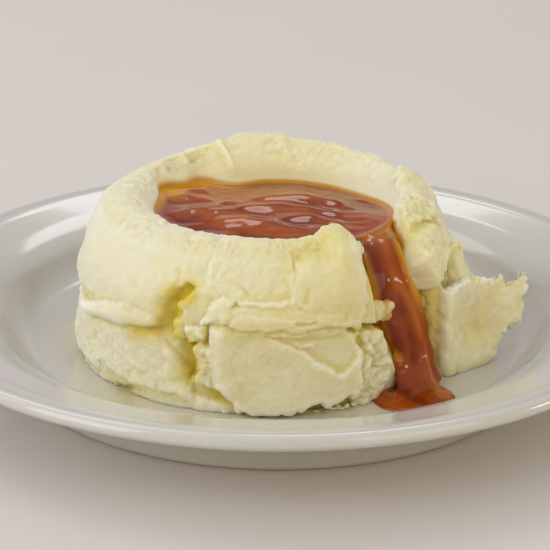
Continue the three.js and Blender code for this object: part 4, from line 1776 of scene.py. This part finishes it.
@dataclass
class Gravy:
    """The pool, the stream and the puddle as one liquid with a rippled skin."""

    mound: Mound
    stream: Stream
    level: float = POOL_LEVEL
    crest: float = 41.2
    depth: float = 3.4
    overlap: float = 1.3
    ripple_height: float = 0.46
    fold_height: float = 1.4
    meniscus: float = 0.2
    spill: Pair = (0.10, 0.22)  # shares of the way down between which the pool turns into the stream
    puddle: Pair = (31.2, -40.6)
    puddle_size: Pair = (9.4, 9.2)
    puddle_height: float = 1.7
    floor: float = SEAT
    floor_radius: float = 57.6
    lane: tuple = (
        # share of the way down the stream, and how far across it the light streak runs there
        (0.2, -0.35), (0.36, -0.25), (0.5, 0.1), (0.66, 0.1), (0.85, 0.35), (1.0, 0.5),
    )
    voxel: float = 0.42
    smoothing: int = 6
    crag: Crag = field(default_factory=lambda: Crag(53))

    def _pool(self) -> bpy.types.Mesh:
        """A shallow lens of gravy that reaches just into the mash.

        Returns:
            The mesh, in metres.
        """
        half = self.mound.pool_half[0]
        low = self.level - self.depth
        profile = evenly(np.array([(0, low), (half - 3, low), (half, self.level - 1.4), (half, self.level),
                                   (0, self.level)], float), 90)
        profile[0, 0] = profile[-1, 0] = 0.0
        grid = RolledGrid(len(profile), 200)
        angle = grid.angles()[None, :]
        azimuth = np.degrees(angle)
        reach = profile[:, :1] / half * (self.mound.pool_edge(azimuth) + self.overlap)
        x = self.mound.pool_centre[0] + reach * np.sin(angle)
        y = self.mound.pool_centre[1] - reach * np.cos(angle)
        points = np.stack(np.broadcast_arrays(x, y, profile[:, 1:]), -1)
        return grid.to_mesh("gravy_pool", points, {})

    def _sheet(self) -> bpy.types.Mesh:
        """The stream as a flattened tube along its route.

        Returns:
            The mesh, in metres.
        """
        bm = bmesh.new()
        bmesh.ops.create_cone(bm, cap_ends=True, segments=40, radius1=1.0, radius2=1.0, depth=1.0)
        sides = [e for e in bm.edges if abs(e.verts[0].co.z - e.verts[1].co.z) > 0.5]
        bmesh.ops.subdivide_edges(bm, edges=sides, cuts=150, use_grid_fill=True)
        mesh = write_mesh(bm, "gravy_stream")
        x, y, z = (read_vertices(mesh) * MM).T
        last = self.stream.readings - 1
        index = np.clip(((0.5 - z) * last).astype(int), 0, last)
        spot = self.stream.spots[index]
        wave = 0.9 * self.crag.rough(spot + np.sign(x)[:, None] * 30.0, 5.0, 2)
        reach = np.where(x < 0, self.stream.reach_left[index], self.stream.reach_right[index]) + wave
        points = spot + self.stream.across * (x * reach)[:, None]
        points += self.stream.outward[index] * (-y * self.stream.half_thick[index])[:, None]
        points[:, 2] = np.maximum(points[:, 2], self.floor)
        place_vertices(mesh, points)
        return mesh

    def _puddle(self) -> bpy.types.Mesh:
        """The flat drop that the stream ends in on the plate.

        Returns:
            The mesh, in metres.
        """
        bm = bmesh.new()
        bmesh.ops.create_uvsphere(bm, u_segments=72, v_segments=24, radius=1.0)
        mesh = write_mesh(bm, "gravy_puddle")
        x, y, z = (read_vertices(mesh) * MM).T
        angle = np.arctan2(x, -y)
        wave = 1 + 0.07 * np.sin(3 * angle + 0.6) + 0.04 * np.sin(5 * angle)
        px = self.puddle[0] + x * self.puddle_size[0] * wave
        py = self.puddle[1] + y * self.puddle_size[1] * wave
        keep = np.minimum(1.0, self.floor_radius / np.hypot(px, py))
        towards_mound = 1 - 0.7 * smoothstep(y, 0.0, 0.9)
        height = self.floor + np.maximum(z, 0) ** 0.8 * self.puddle_height * towards_mound
        place_vertices(mesh, np.stack([px * keep, py * keep, height - 0.6 * (z < 0)], -1))
        return mesh

    def build(self, finish: bpy.types.Material) -> bpy.types.Object:
        """Joins the three parts, gives the skin its ripples and dresses it.

        Args:
            finish: its material.

        Returns:
            The piece.
        """
        bm = bmesh.new()
        for mesh in (self._pool(), self._sheet(), self._puddle()):
            bm.from_mesh(mesh)
            bpy.data.meshes.remove(mesh)
        bmesh.ops.recalc_face_normals(bm, faces=bm.faces)
        mesh = remeshed(write_mesh(bm, "gravy_rough"), self.voxel * MM)
        relax(mesh, self.smoothing)
        self.ripple(mesh)
        return hand_over("gravy_poured", mesh, Node.GRAVY, finish)

    def ripple(self, mesh: bpy.types.Mesh) -> None:
        """Moves the skin to its ripples and stores where the film is thin, where sheen is painted and where
        shade is painted.

        Args:
            mesh: the smooth skin, which is changed in place.
        """
        points = read_vertices(mesh)
        normals = read_normals(mesh)
        away = points[:, :2] - np.array(self.mound.pool_centre)
        azimuth = azimuth_of(away)
        edge = self.mound.pool_edge(azimuth) - np.linalg.norm(away, axis=1)
        index, across, _ = self.stream.locate(points)
        down = index / self.stream.readings
        falling = smoothstep(down, *self.spill)

        drift = points + np.array([2.5, 1.5, 0.0]) * self.crag.rough(points + 5.0, 15.0, 2)[:, None]
        swirl = self.crag.rough(drift * np.array([1.0, 1.5, 1.0]), 12.0, 2)
        folds = sum(fold.height_at(points[:, :2]) for fold in FOLDS)
        skin = smoothstep(points[:, 2], self.level - 0.6, self.level - 0.1) * (1 - falling)
        calm = smoothstep(edge, 0.5, 4.0)
        ripples = ((self.ripple_height * swirl + self.fold_height * folds) * calm + slant(points)) * skin
        meniscus = self.meniscus * hump(edge + 0.4, 0.6) * skin
        even = smoothstep(points[:, 2], self.level - 0.3, self.level - 0.05) * (1 - falling)

        strand = self.crag.rough(np.stack([across * 8.0, down * 20.0, 0 * across], -1), 5.0, 2)
        streaks = 0.7 * strand * falling * (1 - smoothstep(np.abs(across), 0.6, 1.0))
        points = points + normals * streaks[:, None]
        points[:, 2] = mix(points[:, 2], self.level, even) + ripples + meniscus
        points[:, 2] = np.minimum(points[:, 2], self.crest)
        place_vertices(mesh, points)

        front = 0.4 * (1 - smoothstep(edge, -0.4, 0.6))
        back = 0.95 * (1 - smoothstep(edge, 0.0, 2.4))
        thin = mix(front, back, smoothstep(np.abs(azimuth), 70.0, 104.0)) * (1 - falling)
        near_edge = 1 - smoothstep(edge, 3.5, 8.5)
        for middle, width, _ in self.mound.pockets:
            thin = np.maximum(thin, hump(turn(azimuth, middle), width + 2) * near_edge)
        right = smoothstep(across, 0.1, 0.6) * (1 - smoothstep(down, 0.42, 0.6))
        rim = 0.7 * smoothstep(np.abs(across), 0.72, 0.98) * smoothstep(points[:, 2], 10.0, 14.0)
        set_mask(mesh, "film", np.maximum(thin, falling * np.maximum(right, rim)))

        # Painted sheen: a light streak down the stream, pale streaks along the flow, and pale patches on the
        # pool.
        lane = hump(across - np.interp(down, *zip(*self.lane)), 0.18) * smoothstep(down, 0.26, 0.4)
        light = lane * (0.4 + 0.6 * smoothstep(strand, -0.5, 0.3))
        light = np.maximum(light, 0.35 * smoothstep(strand, 0.15, 0.7))
        set_mask(mesh, "painted_sheen", mix(0.3 * smoothstep(swirl, 0.0, 0.6), 0.9 * light, falling))

        left = smoothstep(-across, 0.2, 0.8) * (1 - smoothstep(down, 0.6, 0.75))
        dark = np.maximum(0.9 * left, 0.7 * smoothstep(-strand, 0.1, 0.7))
        set_mask(mesh, "shade", mix(0.6 * smoothstep(-swirl, 0.0, 0.5) * calm, dark, falling))


def remeshed(mesh: bpy.types.Mesh, voxel: float) -> bpy.types.Mesh:
    """One closed skin round all the parts of a mesh.

    Args:
        mesh: closed parts that may run into each other.
        voxel: the size of the new faces, in metres.

    Returns:
        The new mesh.
    """
    shell = put_in_scene("shell", mesh)
    modifier = shell.modifiers.new("skin", "REMESH")
    modifier.mode = "VOXEL"
    modifier.voxel_size = voxel
    depsgraph = bpy.context.evaluated_depsgraph_get()
    made = bpy.data.meshes.new_from_object(shell.evaluated_get(depsgraph))
    bpy.data.objects.remove(shell)
    bpy.data.meshes.remove(mesh)
    return made


def relax(mesh: bpy.types.Mesh, rounds: int) -> None:
    """Smooths a mesh a number of times.

    Args:
        mesh: the mesh, which is changed in place.
        rounds: how often to smooth it.
    """
    bm = bmesh.new()
    bm.from_mesh(mesh)
    for _ in range(rounds):
        bmesh.ops.smooth_vert(bm, verts=bm.verts, factor=0.5,
                              use_axis_x=True, use_axis_y=True, use_axis_z=True)
    bm.to_mesh(mesh)
    bm.free()


# ---------------------------------------------------------------- stage, light and camera


@dataclass
class Studio:
    """The pale floor, the soft lights and the camera."""

    target: Triple = (-0.131, 0.0, 21.526)
    distance: float = 456.38
    pitch: float = 20.363
    roll: float = 0.508
    lens: float = 124.36
    sensor: float = 36.0
    clip: Pair = (0.01, 20.0)
    lit_point: Triple = (0.0, 0.0, 0.03)
    floor_size: float = 4.0
    lamps: tuple = (
        # name, place, side and power in watts
        ("left front", (-0.78, -0.52, 0.47), 0.6, 2.75, (0.92, 0.94, 1.06)),
        ("left", (-0.92, 0.10, 0.42), 0.6, 1.1, (0.90, 0.93, 1.06)),
        ("right front", (0.58, -0.64, 0.50), 0.6, 1.35, (1.0, 0.92, 0.74)),
        ("back", (0.08, 0.72, 0.72), 0.25, 0.55, (1.0, 1.0, 1.0)),
        ("window", (-0.38, 0.36, 0.88), 0.50, 1.35, (1.0, 1.0, 1.0)),
        ("spark", (0.95, -0.18, 0.27), 0.12, 0.42, (1.0, 0.96, 0.88)),
    )
    ahead: Triple = (0.60, 0.51, 0.355)
    turn_ahead: Pair = (0.4, -0.1)  # between which shares of the way back the light from in front takes over
    heights: tuple = (
        # share of the way from level to overhead, and the colour of the light from behind there
        (0.0, (0.54, 0.45, 0.48)), (0.29, (0.54, 0.46, 0.52)), (0.41, (0.13, 0.115, 0.13)),
        (0.56, (0.34, 0.33, 0.36)), (0.72, (0.66, 0.66, 0.68)),
    )
    above: Triple = (0.57, 0.57, 0.57)
    turn_above: Pair = (0.38, 0.70)  # and between which heights the light from above does

    def build(self) -> None:
        """Sets the stage."""
        self.floor()
        self.world()
        for name, spot, size, power, colour in self.lamps:
            self.softbox(name, spot, size, power, colour)
        self.camera()

    def floor(self) -> None:
        """A plain floor under the plate."""
        bm = bmesh.new()
        bmesh.ops.create_grid(bm, x_segments=8, y_segments=8, size=self.floor_size / 2)
        mesh = write_mesh(bm, "floor")
        mesh.materials.append(FloorFinish().material())
        floor = put_in_scene("floor", mesh)

    def world(self) -> None:
        """Soft light from above, warm from in front and a little rosy from behind."""
        world = bpy.data.worlds.new("studio")
        bpy.context.scene.world = world
        world.use_nodes = True
        wiring = Wiring(world.node_tree)
        place = wiring.node("ShaderNodeTexCoord")
        split = wiring.node("ShaderNodeSeparateXYZ")
        wiring.join(place.outputs["Generated"], split.inputs[0])
        ramp = wiring.node("ShaderNodeValToRGB")
        stops = ramp.color_ramp.elements
        for number, (place_up, value) in enumerate(self.heights):
            stop = stops[number] if number < 1 else stops.new(place_up)
            stop.position, stop.color = place_up, (*value, 1.0)
        stops.remove(stops[-1])
        wiring.join(split.outputs["Z"], ramp.inputs[0])
        colour = ramp.outputs["Color"]
        for axis, ends, value in (("Y", self.turn_ahead, self.ahead), ("Z", self.turn_above, self.above)):
            share = wiring.span(split.outputs[axis], ends, interpolation_type="SMOOTHSTEP")
            colour = wiring.blend(share, colour, (*value, 1.0))
        background = world.node_tree.nodes["Background"]
        wiring.join(colour, background.inputs["Color"])
        background.inputs["Strength"].default_value = 1.0

    def softbox(self, name: str, spot: Triple, size: float, power: float, colour: Triple) -> None:
        """A square area light that looks at the mound.

        Args:
            name: the lamp's name.
            spot: where it stands, in metres.
            size: its side, in metres.
            power: its power, in watts.
            colour: its red, green and blue.
        """
        light = bpy.data.lights.new(name, "AREA")
        light.shape = "SQUARE"
        light.size = size
        light.energy = power
        light.color = colour
        lamp = put_in_scene(name, light)
        lamp.location = spot
        lamp.rotation_euler = (Vector(self.lit_point) - Vector(spot)).to_track_quat("-Z", "Y").to_euler()

    def camera(self) -> None:
        """A long lens that looks down a little at the plate."""
        pitch, roll = math.radians(self.pitch), math.radians(self.roll)
        ahead = Vector((0, math.cos(pitch), -math.sin(pitch)))
        side = Vector((1, 0, 0))
        above = side.cross(ahead)
        right = side * math.cos(roll) + above * math.sin(roll)
        up = above * math.cos(roll) - side * math.sin(roll)
        spot = (Vector(self.target) - ahead * self.distance) * MM
        data = bpy.data.cameras.new("camera")
        data.lens = self.lens
        data.sensor_width = self.sensor
        data.clip_start, data.clip_end = self.clip
        camera = put_in_scene("camera", data)
        axes = Matrix((right, up, -ahead)).transposed().to_4x4()
        camera.matrix_world = Matrix.Translation(spot) @ axes
        bpy.context.scene.camera = camera
        bpy.context.scene.view_settings.view_transform = "Standard"


def main() -> None:
    """Builds the pieces in order and sets the stage."""
    logging.basicConfig(level=logging.INFO, format="%(name)s: %(message)s")
    stream = Stream()
    mound = Mound(stream)
    mash = MashFinish().material()
    Plate().build()
    mound.build(mash)
    Flap().build(mash)
    Lumps(stream).build(MashFinish(name="mash crumbs", scatter=0.0006).material())
    Gravy(mound, stream).build(GravyFinish().material())
    Studio().build()


if __name__ == "__main__":
    main()
